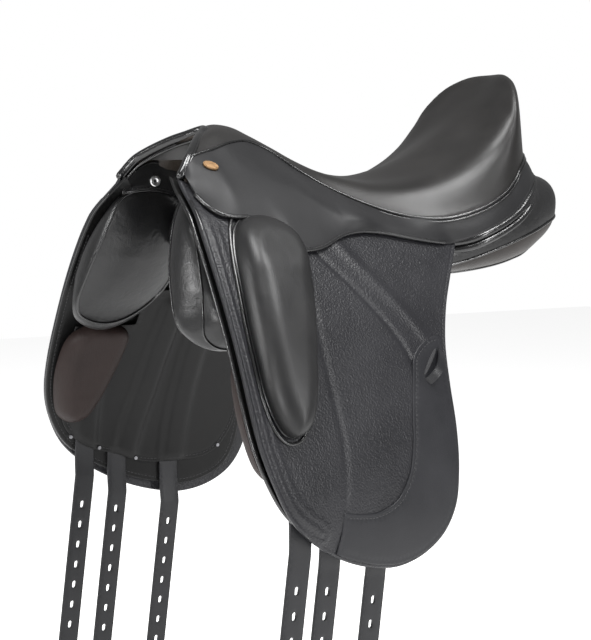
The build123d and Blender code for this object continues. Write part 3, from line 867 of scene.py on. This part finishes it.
guard = layer_solid(GUARD_LOOP, 3.6, (0.35, 0.9, 1.7, 3.5, 4.5, 5.5, 7.5),
                    lambda f, e: GUARD_OUT + rounded(e, 1.0), guard_inner)
pair("billet_guard", guard, GUARD, "calf_leather", "flap", ["billet_guard"])

PATCH_LOOP = outline(
    ("smooth", [(6, -104), (-12, -107), (-36, -122), (-47, -148), (-56, -180), (-62, -210), (-72, -240),
                (-90, -262), (-118, -271), (-145, -269), (-166, -265)]),
    ("straight", [(-166, -265), (-170, -285), (-176, -302)]),
    ("smooth", [(-176, -305), (-157, -313), (-118, -325), (-85, -329), (-50, -322), (-22, -305),
                (-5, -280), (1.5, -245), (4.5, -200), (5, -155), (7, -125)]),
    ("straight", [(7, -125), (6, -104)]),
    step=3.0,
)
patch = layer_solid(PATCH_LOOP, 4.2, (0.35, 0.8, 1.4, 2.4, 3.8, 4.6, 5.4, 7.0),
                    lambda f, e: PATCH_OUT + rounded(e, 0.9) * 0.9 + hump(e - 4.6, 0.4, 0.8),
                    lambda f, e: PATCH_IN)
pair("wear_patch", patch, PATCH, "patch_leather", "flap", ["wear_patch"])


# ---- pads on the flap --------------------------------------------------------------------
CROWN_POWER = 2.3


def crown(edge, height, reach):
    """Height of a stuffed pad at a distance from its seam."""
    t = np.clip(edge / reach, 0, 1)
    return height * (1 - (1 - t) ** CROWN_POWER) ** (1 / CROWN_POWER)


BLOCK_LOOP = smooth_through(
    [(-186, 25), (-205, 21), (-220, 10), (-231, -14), (-237, -43), (-242, -80), (-244, -115),
     (-243, -150), (-236, -174), (-226, -186), (-213, -185), (-200, -175), (-187, -150), (-175, -112),
     (-163, -74), (-153, -38), (-149, -10), (-152, 9), (-166, 21)], 230, closed=True)
PAD_RINGS = (0.15, 0.5, 1.1, 2.0, 3.2, 4.8, 7.0, 10.0)


def block_outer(flat, edge):
    """Depth of the thigh block's face: full in the middle, flatter at its top and front."""
    tilt = 1 - 0.25 * fade((flat[:, 1] + 60) / -130) * fade((-195 - flat[:, 0]) / 50)
    reach = 27.0 - 11.0 * fade((flat[:, 1] + 40) / 45)
    return BLOCK_BASE - crown(edge, BLOCK_HEIGHT, reach) * tilt * (1 - 0.22 * fade((flat[:, 1] + 25) / 45))


block = layer_solid(BLOCK_LOOP, 3.0, PAD_RINGS, block_outer, lambda f, e: BLOCK_BASE)
pair("thigh_block", block, BLOCK, "calf_leather", "flap", ["thigh_block"], fill=0.85)

KNEE_LOOP = smooth_through(
    [(-214, -110), (-236, -112), (-253, -124), (-261, -160), (-259, -195), (-251, -222), (-236, -233),
     (-219, -228), (-206, -208), (-195, -180), (-186, -150), (-183, -124), (-193, -112)], 190, closed=True)
knee = layer_solid(KNEE_LOOP, 3.4, PAD_RINGS, lambda f, e: KNEE_BASE,
                   lambda f, e: KNEE_BASE + crown(e, KNEE_HEIGHT, KNEE_REACH))
pair("knee_pad", knee, KNEE, "knee_leather", "flap", ["knee_pad"], fill=0.7)


# ---- stitching and welts on the flap side ------------------------------------------------
def stitch_row(loop, by, start, end, depth, facing=1):
    """Stitches beside a loop on the flap surface; facing is -1 on the horse's side."""
    part = loop_part(loop, by, start, end)
    return stitches(on_flap(part, depth), facing * flap_normal(part))


pair("flap_stitching", joined(
    stitch_row(FLAP_LOOP, 4.6, (-255, 30), (60, -36), 0.3),
    stitch_row(PATCH_LOOP, 4.6, (0, -105), (-160, -267), -1.75),
), THREAD, "flap_leather", "flap")
pair("inner_stitching", joined(
    stitch_row(SWEAT_LOOP, 5.2, (-253, 0), (-9, -180), 13.7, -1),
    stitch_row(GUARD_LOOP, 4.5, (-249, -150), (-19, -180), 21.3, -1),
), THREAD, "calf_leather", "flap")
outer_welt = [(-212, 28), (-224.5, 12), (-234.5, -14), (-241, -43), (-246.5, -80), (-248.5, -115),
              (-247.5, -152), (-240, -180), (-227, -192), (-212, -191), (-198, -180)]
pair("block_welt", joined(
    tube(on_flap(smooth_through(BLOCK_LOOP[::6], 150, closed=True), -1.2), 1.9, 8, closed=True),
    tube(on_flap(smooth_through(outer_welt, 90), -1.6), 1.9, 8),
), WELT, "welt_leather", "flap")
pair("flap_edge_bead", joined(
    tube(on_flap(loop_part(FLAP_LOOP, 1.8, (-252, 40), (-212, -281)), 1.0), 1.7, 8),
    tube(on_flap(loop_part(SWEAT_LOOP, 1.4, (-251, 42), (-225, -266)), 10.6), 2.3, 8),
), WELT, "flap_leather", "flap")


# ---- rolled edge of the skirt ------------------------------------------------------------
split_at = next(i for i, (a, b) in enumerate(zip(TOPS, LOWS)) if split_share(a, b) >= WHOLE)
edge_in = skirt_edge - np.array([1.6, 0, 0])
for side, sign in SIDES:
    bead = make(f"vis_skirt_edge_{side}", on_side(tube(edge_in[:split_at - 1], 2.5, 10), sign), EDGE,
                "seat_leather")
    blend_at_split(bead)
    bead = make(f"vis_facing_edge_{side}", on_side(tube(edge_in[split_at - 2:], 2.1, 8), sign), SKIRT,
                "seat_leather")
    blend_at_hinge(bead)


# ---- seat seam ---------------------------------------------------------------------------
def along_seam(out, down, radius):
    """Piping beside the seat seam of the left half, from the arch to the middle of the cantle."""
    line = smooth_through([row[3] for row in SEAT_ROWS[:-1]] + [(0, 236, 100.5)], 240)
    line[-1, 0] = 0
    line[:, 0] += out * np.clip(line[:, 0] / 30, 0, 1)
    line[:, 1] += out * np.clip((line[:, 1] - 190) / 40, 0, 1)
    line[:, 2] += down
    line[-1, 0] = 0
    return tube(line, radius, 8)


pair("seat_piping", along_seam(0.6, 0.2, 1.7), WELT, "welt_leather", "saddle")
pair("skirt_piping", along_seam(2.6, -3.4, 1.1), WELT, "welt_leather", "saddle")


# ---- front arch --------------------------------------------------------------------------
ARCH_HALF = [(70.5, -246, 66), (69, -242, 71), (66.5, -238, 76.6), (62.6, -232.7, 83.4),
             (57.6, -227.5, 88.3), (44.4, -216, 97), (28, -202, 105.7), (17, -193, 110),
             (6.6, -183.5, 114.6), (0, -180.5, 116)]


def both_ways(half):
    """Line that ends on the middle plane, carried on by its mirror image."""
    return np.vstack([half, half[-2::-1] * (-1, 1, 1)])


def arch_line(shift):
    """Line along the front arch from side to side, shifted from the edge of the skirt."""
    half = np.array(ARCH_HALF, float) + shift
    half[-1, 0] = 0
    return smooth_through(both_ways(half), 120)


roll = joined(tube(arch_line((0, 0.5, -0.5)), 5.0, 14), tube(arch_line((-2.5, 3, -7.5)), 1.5, 8),
              tube(arch_line((3.0, 4.2, 2.4)), 1.3, 8))
make("vis_arch_roll", roll, WELT, "welt_leather", "saddle", ["front_arch_roll"])

SKIRT_POINTS = np.concatenate([skirt_upper.reshape(-1, 3), skirt_lower.reshape(-1, 3)])


def skirt_x(y, z):
    """Distance of the skirt from the middle plane at one place in the side view."""
    gap = (SKIRT_POINTS[:, 1] - y) ** 2 + (SKIRT_POINTS[:, 2] - z) ** 2
    near = np.argsort(gap)[:6]
    weight = 1 / (gap[near] + 0.5)
    return float((SKIRT_POINTS[near, 0] * weight).sum() / weight.sum())


WALL_ROOM, WALL_LIMIT = 5.5, 70.5


def wall_x(y, z):
    """Inner wall behind the arch: it follows the skirt from inside, up to a plane of the tree."""
    x = skirt_x(y, z) - WALL_ROOM
    return min(x, WALL_LIMIT) - 1.5 * math.exp(-abs(x - WALL_LIMIT) / 3.0)


def front_row(y, x, z):
    """Lining row behind the arch roll, from a point under the roll down the inner wall."""
    heights = (z - 1, z - 10, 0.5 * (z + 34), 34)
    return (y, [(x, z)] + [(wall_x(y, h), h) for h in heights[1:]])


# Lining rows: station y, then points from the arch edge or the middle down to the panel (x, z).
LINING_ROWS = [front_row(*row) for row in (
    (-241, 65, 68), (-233, 59, 80), (-225, 51, 88), (-214, 38, 95), (-204, 27, 101))] + [
    (-193, [(12, 106), (38, 92), (wall_x(-193, 66), 66), (wall_x(-193, 34), 34)]),
    (-184, [(0, 109), (36, 91), (wall_x(-184, 64), 64), (wall_x(-184, 33), 33)]),
    (-172, [(0, 103), (34, 88), (wall_x(-172, 62), 62), (wall_x(-172, 32), 32)]),
    (-160, [(0, 92), (30, 80), (60, 58), (66, 30)]),
    (-150, [(0, 84), (26, 73), (46, 50), (56, 27)]),
    (-120, [(0, 66), (18, 60), (33, 44), (38, 27)]),
    (-100, [(0, 56), (15, 51), (28, 39), (32, 26)]),
    (-70, [(0, 35), (14, 31), (26, 22), (30, 12)]),
    (-40, [(0, 16), (13, 13.5), (24, 8.5), (28, 3)]),
    (0, [(0, 0), (13, -1), (24, -4), (28, -7)]),
    (55, [(0, 0.5), (13, -0.5), (24, -3), (28, -5.5)]),
    (110, [(0, 2), (13, 1), (24, -2), (28, -4)]),
    (165, [(0, 22), (11, 21), (20, 18), (24, 14)]),
    (205, [(0, 48), (9, 47), (15, 45), (18, 42)]),
]


def lining_half():
    """Left half of the lining as a grid, with small creases behind the arch."""
    stations, cols = 90, 15
    rows = []
    for y, section in LINING_ROWS:
        section = smooth_through(section, cols)
        rows.append(np.column_stack([section[:, 0], np.full(cols, y), section[:, 1]]))
    grid = smooth_through(np.reshape(rows, (len(rows), -1)), stations).reshape(stations, cols, 3)
    x, y = grid[:, :, 0], grid[:, :, 1]
    crease = 0.5 * np.sin(y * 0.9 + x * 0.25) * fade((-165 - y) / 30)
    grid[:, 1:, 2] -= crease[:, 1:]
    x[y > -184] = np.maximum(x[y > -184], 0)
    x[y[:, 0] >= -184, 0] = 0.0
    return grid


lining = lining_half()
p = lining.reshape(-1, 3)
faces = grid_faces(*lining.shape[:2])
faces = turned(faces, normals_of(p, faces)[:, 2].mean() > 0)
linings = pair("gullet_lining", thickened(p, faces, 2.0), LINING, "lining_leather", "saddle")
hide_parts("channel_lining", "front_arch_lining")


# ---- cantle rolls ------------------------------------------------------------------------
def cantle_line(out, drop):
    """Left half of a roll below the rear seam, following the skirt and facing."""
    rear = [i for i in range(len(LOWS)) if LOWS[i][1] > 50]
    line = TOPS[rear] + (LOWS[rear] - TOPS[rear]) * (1, 1, 0) * (drop / 24.0)
    line[:, 0] += (out - 9.0 * fade((118 - line[:, 1]) / 55)) * np.clip(line[:, 0] / 40, 0, 1)
    line[:, 1] += out * np.clip((line[:, 1] - 190) / 50, 0, 1)
    line[:, 2] -= drop
    line[-1, 0] = 0
    return line


CANTLE_ROLL = 4.2       # radius
for name, out, drop in (("upper", -1.5, 28.5), ("lower", -2.5, 36.5)):
    solid = tube(smooth_through(both_ways(cantle_line(out, drop))[::4], 200), CANTLE_ROLL, 12)
    make(f"vis_cantle_roll_{name}", solid, WELT, "welt_leather", "saddle", [f"cantle_roll_{name}"])


# ---- front lobe of the panel -------------------------------------------------------------
# Outline of the lobe on the horse's side and on the flap side, as (y, z), from the top round
# the front edge.
LOBE_IN = [(-222, 49), (-243, 41), (-255, 20), (-263, -5), (-270, -28), (-275, -52), (-278, -74),
           (-274, -90), (-258, -100), (-236, -103), (-212, -97), (-190, -84), (-173, -66),
           (-163, -38), (-157, -6), (-157, 26), (-174, 44)]
LOBE_OUT = [(-222, 42), (-238, 31), (-250, 13), (-258, -8), (-262, -30), (-265, -54), (-266, -76),
            (-264, -94), (-250, -106), (-232, -109), (-210, -102), (-188, -88), (-172, -68),
            (-162, -40), (-157, -8), (-161, 22), (-186, 37)]
LOBE_MIDDLE = np.array([-212.0, -32.0])
LOBE_DOME, LOBE_BULGE, LOBE_ROOM = 15.0, 5.5, 14.0      # inner face, gusset, depth left for the flap
LOBE_LEVELS = [-110, -90, -75, -50, -25, 0, 20, 50]


def lobe_in_x(z):
    """Distance of the lobe's inner seam from the middle plane at height z."""
    return np.interp(z, LOBE_LEVELS, [124, 122, 116, 102, 89, 79, 74.5, 70])


def lobe_out_x(z):
    """Distance of the lobe's outer seam from the middle plane at height z."""
    return np.interp(z, LOBE_LEVELS, [148, 152, 153, 149, 137, 121, 104, 80])


def lobe_rings():
    """Rings of the stuffed lobe from the middle of its inner face over the gusset to the outer."""
    seam_in, seam_out = (smooth_through(seam, 110, closed=True) for seam in (LOBE_IN, LOBE_OUT))
    rings = []

    def ring(yz, x):
        rings.append(np.column_stack([x, yz]))

    shares = np.sin(np.linspace(0.03, 1, 15) * math.pi / 2)
    for s in shares:
        yz = LOBE_MIDDLE + (seam_in - LOBE_MIDDLE) * s
        dome = LOBE_DOME * (1 - s ** 2.4) * fade((yz[:, 1] + 108) / 40)
        ring(yz, lobe_in_x(yz[:, 1]) - dome)
    for k in range(1, 10):
        t = k / 10
        yz = seam_in + (seam_out - seam_in) * t
        bulge = LOBE_BULGE * math.sin(math.pi * t) ** 0.7
        x = lobe_in_x(seam_in[:, 1]) * (1 - t) + lobe_out_x(seam_out[:, 1]) * t
        ring(yz + unit_rows(yz - LOBE_MIDDLE) * bulge, x)
    for s in shares[::-1]:
        yz = LOBE_MIDDLE + (seam_out - LOBE_MIDDLE) * s
        gap = side_x(yz[:, 0], yz[:, 1], LOBE_ROOM) - lobe_out_x(yz[:, 1])
        ring(yz, lobe_out_x(yz[:, 1]) + np.clip(0.86 * gap, 1, 26) * (1 - s ** 3.2) ** 0.8)
    return np.array(rings), seam_in, seam_out


rings, seam_in, seam_out = lobe_rings()
faces = ring_faces(*rings.shape[:2])
p = rings.reshape(-1, 3)
faces = turned(faces, normals_of(p, faces)[:rings.shape[1], 0].mean() > 0)
pair("panel_lobe", (p, faces), CALF, "calf_leather", "saddle", ["panel_lobe"], fill=0.9)
pair("lobe_piping", joined(
    tube(np.column_stack([lobe_in_x(seam_in[:, 1]) - 0.3, seam_in]), 1.5, 8, closed=True),
    tube(np.column_stack([lobe_out_x(seam_out[:, 1]) + 0.3, seam_out]), 1.5, 8, closed=True),
), WELT, "welt_leather", "saddle")


# ---- main panel --------------------------------------------------------------------------
# Station y, middle x and z, half width across, half height, turn in degrees, as in the CAD loft.
PANEL_ROWS = [
    (-188, 50, 16, 30, 7, -58), (-178, 50, 13, 35, 10.5, -57), (-148, 51, 4, 37, 12.5, -55),
    (-110, 52, -6, 38, 14, -52), (-75, 56, -16, 36, 14.5, -42), (-40, 62, -24, 34, 15, -32),
    (20, 70, -27, 34, 16, -16), (60, 74, -25, 36, 19, -10), (92, 77, -19, 38, 25, -6),
    (125, 78, -9, 42, 33, -2), (160, 76, 3, 45, 40.5, 0), (185, 73, 13, 46.5, 45, 0),
    (204, 70, 20, 46, 47, 0), (222, 67, 25, 43, 43, 0), (236, 65, 27.5, 38.5, 37, 0),
    (247, 63, 28.5, 31, 29, 0), (254, 62, 29, 20, 18, 0), (256.5, 61.5, 29, 7, 6, 0),
]
PANEL_POWER = 0.86                  # below 1, a section is fuller than an oval
SEAM_AT, GUSSET_AT = 0.955, 0.80    # share of a turn round the panel's section


def panel_ring(y, x, z, a, b, turn):
    """Section of the panel across the saddle at station y."""
    w = np.linspace(0, 2 * math.pi, 44, endpoint=False)
    c, s = np.cos(w), np.sin(w)
    u = a * np.sign(c) * np.abs(c) ** PANEL_POWER
    v = b * np.sign(s) * np.abs(s) ** PANEL_POWER
    turn = np.radians(turn)
    return np.column_stack([x + u * np.cos(turn) - v * np.sin(turn), np.full(len(w), y),
                            z + u * np.sin(turn) + v * np.cos(turn)])


table = smooth_through(PANEL_ROWS, 80)
rings = np.array([panel_ring(*row) for row in table])
lean = fade((rings[:, :, 1] - 170) / 80)
rings[:, :, 1] += lean * (0.10 * (rings[:, :, 2] - 20))
rows, cols = rings.shape[:2]
p = rings.reshape(-1, 3)
faces = ring_faces(rows, cols)
faces = turned(faces, normals_of(p, faces)[cols * 50:cols * 50 + 8, 2].mean() < 0)


def panel_line(share, lift=0.6, first=26):
    """Line along the panel at one share of its turn, from the first ring that it shows on."""
    line = []
    for ring in rings[first:]:
        k = share * cols
        i, f = int(k) % cols, k % 1
        point = ring[i] * (1 - f) + ring[(i + 1) % cols] * f
        centre = ring.mean(0)
        out = (point - centre) / max(np.linalg.norm(point - centre), 1e-6)
        line.append(point + out * lift)
    return np.array(line)


PANEL_SEAM = panel_line(SEAM_AT, 0, 0)


def under_seam(centre):
    """True for the faces of the gusset and horse's side, below the upper seam."""
    k = int(np.argmin(np.abs(table[:, 0] - centre[1])))
    return centre[2] < PANEL_SEAM[k][2] - 0.2 and centre[1] > -60


pair("panel", (p, faces), CALF, "calf_leather", "saddle", ["panel"], fill=0.9, second=GUSSET,
     pick=under_seam)
pair("panel_piping", joined(tube(panel_line(SEAM_AT), 1.3, 8), tube(panel_line(GUSSET_AT), 1.3, 8)),
     WELT, "welt_leather", "saddle")


# ---- point pocket and stud ---------------------------------------------------------------
POCKET_LOOP = outline(
    ("smooth", [(-245, 46), (-238, 62), (-225, 74), (-207, 81), (-186, 79), (-166, 68), (-153, 40)]),
    ("smooth", [(-153, 40), (-168, 41.5), (-190, 47), (-210, 49.5), (-230, 48), (-245, 46)]),
    step=2.0,
)


def on_lining(yz, lift=0.0):
    """Points just clear of the lining from (y, z) pairs, lifted towards the horse."""
    x = np.array([wall_x(y, z) for y, z in yz]) - 3.4
    return np.column_stack([x - lift, yz])


flat, faces = region(POCKET_LOOP, 3.0, (0.3, 0.8, 1.5, 2.4, 3.2, 4.0, 5.2))
edge = distance_to(flat, POCKET_LOOP)
dome = 2.6 * (1 - np.exp(-edge / 9))
front = on_lining(flat, 1.2 + dome - rounded(edge, 1.2) - hump(edge - 3.2, 0.45, 0.7))
p, faces = closed_between(front, on_lining(flat, -2.2), faces)
pair("point_pocket", (p, turned(faces)), CALF, "calf_leather", "saddle", ["point_pocket"])
stitch_path = on_lining(loop_part(POCKET_LOOP, 3.2, (-160, 44), (-238, 47)), 2.3)
pair("pocket_edge", joined(
    tube(on_lining(POCKET_LOOP, 0.4), 1.3, 8, closed=True),
    stitches(stitch_path, np.tile([-1.0, 0, 0], (len(stitch_path), 1)), 4.0, 2.8),
), WELT, "calf_leather", "saddle")


def lathe(profile, at, direction, sides=28):
    """Turned piece: profile of (radius, height) pairs round an axis through at."""
    direction = unit(direction)
    a = unit(np.cross(direction, [0.1, 0.2, 1.0]))
    b = np.cross(direction, a)
    w = np.linspace(0, 2 * math.pi, sides, endpoint=False)
    points = [np.array(at) + direction * h + r * (a * math.cos(t) + b * math.sin(t))
              for r, h in profile for t in w]
    return np.array(points), ring_faces(len(profile), sides, closed=True)


STUD_AT = on_lining([(-206, 60)], 3.6)[0]
stud = lathe([(1.8, -0.8), (6.4, -0.8), (6.5, 0.6), (6.0, 1.3), (5.0, 1.7), (4.0, 1.6), (2.9, 1.0),
              (2.1, 0.3)], STUD_AT, (-1, 0, 0.05))
plug = lathe([(0.01, -0.6), (2.1, -0.6), (2.1, 0.0), (0.01, 0.1)], STUD_AT, (-1, 0, 0.05), 16)
pair("pocket_stud", stud, STEEL, "steel", "saddle", ["pocket_stud"])
pair("pocket_stud_hole", plug, THREAD, "steel", "saddle")


# ---- badge -------------------------------------------------------------------------------
BADGE_AT, BADGE_HALF, BADGE_SIDES = (-216.5, 75.5), (8.6, 5.6), 48


def oval_badge():
    """Flat oval plate with a raised rim and a low dome, lying on the skirt."""
    centre = np.array([skirt_x(*BADGE_AT) + 1.4, *BADGE_AT])
    u = unit(np.array([skirt_x(-212.0, 73.4) - skirt_x(-221.0, 77.6), 9.0, -4.2]))
    rise = np.array([skirt_x(-215.0, 79.0) - skirt_x(-218.0, 72.0), 3.0, 7.0])
    out = unit(np.cross(u, rise))
    v = np.cross(out, u)
    profile = [(0.02, 1.15), (0.35, 1.1), (0.66, 0.95), (0.78, 0.85), (0.84, 1.25), (0.92, 1.35),
               (0.98, 1.1), (1.0, 0.6), (1.0, -0.8)]     # share of the oval's size, height
    angles = np.linspace(0, 2 * math.pi, BADGE_SIDES, endpoint=False)
    points = [centre + u * BADGE_HALF[0] * r * math.cos(t) + v * BADGE_HALF[1] * r * math.sin(t) + out * h
              for r, h in profile for t in angles]
    return np.array(points), turned(ring_faces(len(profile), BADGE_SIDES))


pair("badge", oval_badge(), BRASS, "brass", "saddle", ["badge"])


# ---- leather keeper on the wear patch ----------------------------------------------------
# The last value is half the width of the painted shade strip beside the keeper.
KEEPER_HALF, KEEPER_LIFT, SHADE_HALF = 4.6, 10.5, 2.3


def ribbon(a, b, t, aside, offsets, depth, lift=0.0):
    """Grid of points over the patch, one row beside the line from a to b for each offset."""
    line = np.array(a) + np.subtract(b, a) * t[:, None]
    rows = [line + np.array(aside) * np.reshape(offset, (-1, 1)) for offset in offsets]
    return [np.column_stack([flap_x(yz[:, 0], yz[:, 1], depth) + lift, yz]) for yz in rows]


def keeper():
    """Flat leather loop standing off the patch, its two ends stitched down."""
    t = np.linspace(0, 1, 33)
    offsets = [KEEPER_HALF * s + 1.5 for s in (-1, -0.92, -0.5, 0, 0.5, 0.92, 1)]
    lift = KEEPER_LIFT * np.sin(math.pi * t) ** 0.75
    return sheet_of(ribbon((-27.0, -149.0), (2.0, -119.0), t, (0.70, -0.71), offsets, -2.2, lift), 2.0)


def keeper_shade_strip():
    """Painted shade: a dark strip on the patch beside the loop, where the loop casts its shadow."""
    t = np.linspace(0.02, 0.98, 21)
    offsets = [s * SHADE_HALF * np.sqrt(np.sin(math.pi * t)) for s in (-1, 0, 1)]
    return sheet_of(ribbon((-29.0, -143.0), (-4.0, -117.5), t, (0.72, -0.69), offsets, -2.35), 1.0)


# Painted shade: a black strip on the patch where the keeper's shadow falls.
pair("keeper_shade_strip", keeper_shade_strip(), THREAD, "patch_leather", "flap")
pair("leather_keeper", keeper(), STRAP, "strap_leather", "flap", ["leather_keeper"])


# ---- girth straps ------------------------------------------------------------------------
# Centre y and hinge height of each strap, and how far its first hole is below the hinge.
STRAPS = {"front": (-212.0, -302.0, 36), "middle": (-172.0, -324.0, 22), "rear": (-106.0, -342.0, 25)}
STRAP_HALF, STRAP_LENGTH, STRAP_THICK, STRAP_DEPTH = 12.5, 385.0, 4.0, 16.4
HOLES, HOLE_PITCH, STRAP_TOP = 13, 25.0, -232.0
LEAN = math.radians(7.0)
BEND, TWIST = 14, 22.0      # half length of the bend at the hinge, and length in which a strap turns


def slot_loop(at):
    """Oblong punched hole, 5 mm wide and 9 mm long."""
    w = np.linspace(0, 2 * math.pi, 14, endpoint=False)
    return np.column_stack([2.5 * np.cos(w), at + 2.5 * np.sin(w) + 2.0 * np.sign(np.sin(w) + 1e-9)])


def strap_solid(y, z, first):
    """Strap with rounded, creased edges and a row of punched holes, from inside the flap down."""
    above = STRAP_TOP - z
    tip = [(-STRAP_HALF, 22 - STRAP_LENGTH), (-10.5, 10 - STRAP_LENGTH), (-6, 2.5 - STRAP_LENGTH),
           (0, -STRAP_LENGTH)]
    loop = outline(("straight", [(STRAP_HALF, above), (-STRAP_HALF, above)]),
                   ("straight", [(-STRAP_HALF, above)] + tip),
                   ("straight", [(-w, s) for w, s in tip[::-1]] + [(STRAP_HALF, above)]), step=3.5)
    holes = [slot_loop(-first - k * HOLE_PITCH) for k in range(HOLES)]
    flat, faces = region(loop, 4.0, (0.35, 0.9, 1.6, 2.4, 3.0, 3.6), holes)
    edge = distance_to(flat, loop)
    rim = np.full(len(flat), 9.0)
    for hole in holes:
        rim = np.minimum(rim, distance_to(flat, hole))
    half = STRAP_THICK / 2 - rounded(edge, 1.3) - hump(edge - 3.0, 0.35, 0.6) - hump(rim, 0.5, 0.7)
    x0 = float(flap_x(y, z, STRAP_DEPTH))
    s, w = flat[:, 1], flat[:, 0]
    turn = LEAN * fade((TWIST - s) / TWIST)
    free = np.minimum(s, 0)
    yy = y + w * np.cos(turn) + free * math.sin(LEAN)
    zz = z + np.where(s > 0, s, s * math.cos(LEAN)) - w * np.sin(turn)
    on = flap_x(np.full(len(s), y), np.maximum(zz, z), STRAP_DEPTH)
    xx = np.where(s > 0, on, x0)
    return closed_between(np.column_stack([xx + half, yy, zz]), np.column_stack([xx - half, yy, zz]), faces)


for name, (y, z, first) in STRAPS.items():
    solid = strap_solid(y, z, first)
    x0 = float(flap_x(y, z, STRAP_DEPTH)) * MM
    for side, sign in SIDES:
        nodes = [f"girth_strap_{name}_{side}"] + ([f"strap_anchors_{side}"] if name == "front" else [])
        strap = make(f"vis_girth_strap_{name}_{side}", on_side(solid, sign), STRAP, "strap_leather",
                     None, nodes)
        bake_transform(strap)


# ---- CAD nodes that keep their own shape -------------------------------------------------
KEPT = {
    "tree_shell": TREE, "seat_web_long": WEBBING, "seat_web_cross": WEBBING, "head_plate": STEEL,
    "tree_point": TREE, "stirrup_bar": STEEL, "catch_pin": STEEL, "stirrup_catch": STEEL,
    "guard_rivets": RIVET,
}
for node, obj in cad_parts.items():
    if obj.hide_render:
        continue
    stem = node.removesuffix("_left").removesuffix("_right")
    obj.data.materials.clear()
    obj.data.materials.append(KEPT[stem])


# ---- camera, light and floor -------------------------------------------------------------
def studio():
    """The photo's camera, a white background with a pale floor, and five soft lights."""
    scene = bpy.context.scene
    target = Vector((0.0, -0.060, -0.0986))
    azimuth, elevation, distance = math.radians(57.5), math.radians(4.94), 1.789
    away = Vector((math.sin(azimuth) * math.cos(elevation), -math.cos(azimuth) * math.cos(elevation),
                   math.sin(elevation)))
    camera = bpy.data.objects.new("camera", bpy.data.cameras.new("camera"))
    scene.collection.objects.link(camera)
    camera.location = target + away * distance
    camera.rotation_euler = (-away).to_track_quat("-Z", "Y").to_euler()
    camera.data.sensor_width = 36
    camera.data.lens = 87.9
    scene.camera = camera
    scene.view_settings.view_transform = "Standard"

    world = bpy.data.worlds.new("studio")
    world.use_nodes = True
    tree = world.node_tree
    background = tree.nodes["Background"]
    background.inputs["Color"].default_value = (1, 1, 1, 1)
    seen = tree.nodes.new("ShaderNodeLightPath").outputs["Is Camera Ray"]
    # The camera sees a white background, and the saddle is lit by a dimmer one.
    scale = tree.nodes.new("ShaderNodeMapRange")
    scale.inputs["To Min"].default_value = 0.32
    scale.inputs["To Max"].default_value = 1.0
    tree.links.new(seen, scale.inputs["Value"])
    tree.links.new(scale.outputs["Result"], background.inputs["Strength"])
    scene.world = world

    mesh = bpy.data.meshes.new("floor")
    size, level = 6.0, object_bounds()[0][2] - 0.004
    mesh.from_pydata([(-size, -size, level), (size, -size, level), (size, size, level),
                      (-size, size, level)], [], [(0, 1, 2, 3)])
    floor = bpy.data.objects.new("floor", mesh)
    scene.collection.objects.link(floor)
    material, tree, shader = nodes_of("pale_floor")
    shader.inputs["Base Color"].default_value = (0.93, 0.93, 0.93, 1)
    shader.inputs["Emission Color"].default_value = (1, 1, 1, 1)
    shader.inputs["Emission Strength"].default_value = 0.6
    shader.inputs["Roughness"].default_value = 0.9
    shader.inputs["Specular IOR Level"].default_value = 0.1
    mesh.materials.append(material)
    floor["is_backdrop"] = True

    def softbox(name, at, size_x, size_y, power, aim=(0, -0.03, -0.1)):
        light = bpy.data.lights.new(name, "AREA")
        light.shape = "RECTANGLE"
        light.size, light.size_y, light.energy = size_x, size_y, power
        obj = bpy.data.objects.new(name, light)
        obj.location = at
        obj.rotation_euler = (Vector(aim) - Vector(at)).to_track_quat("-Z", "Y").to_euler()
        scene.collection.objects.link(obj)

    softbox("key", (0.2, -0.6, 2.1), 0.8, 0.7, 50)
    softbox("top", (0.9, 0.5, 1.9), 0.5, 0.9, 52)
    softbox("side", (2.4, 0.9, 0.6), 0.3, 1.5, 46)
    softbox("front", (-0.5, -2.4, 0.8), 0.5, 0.9, 34)
    softbox("fill", (1.3, -1.9, 0.25), 0.6, 0.6, 24, (-0.05, -0.2, 0.02))


studio()
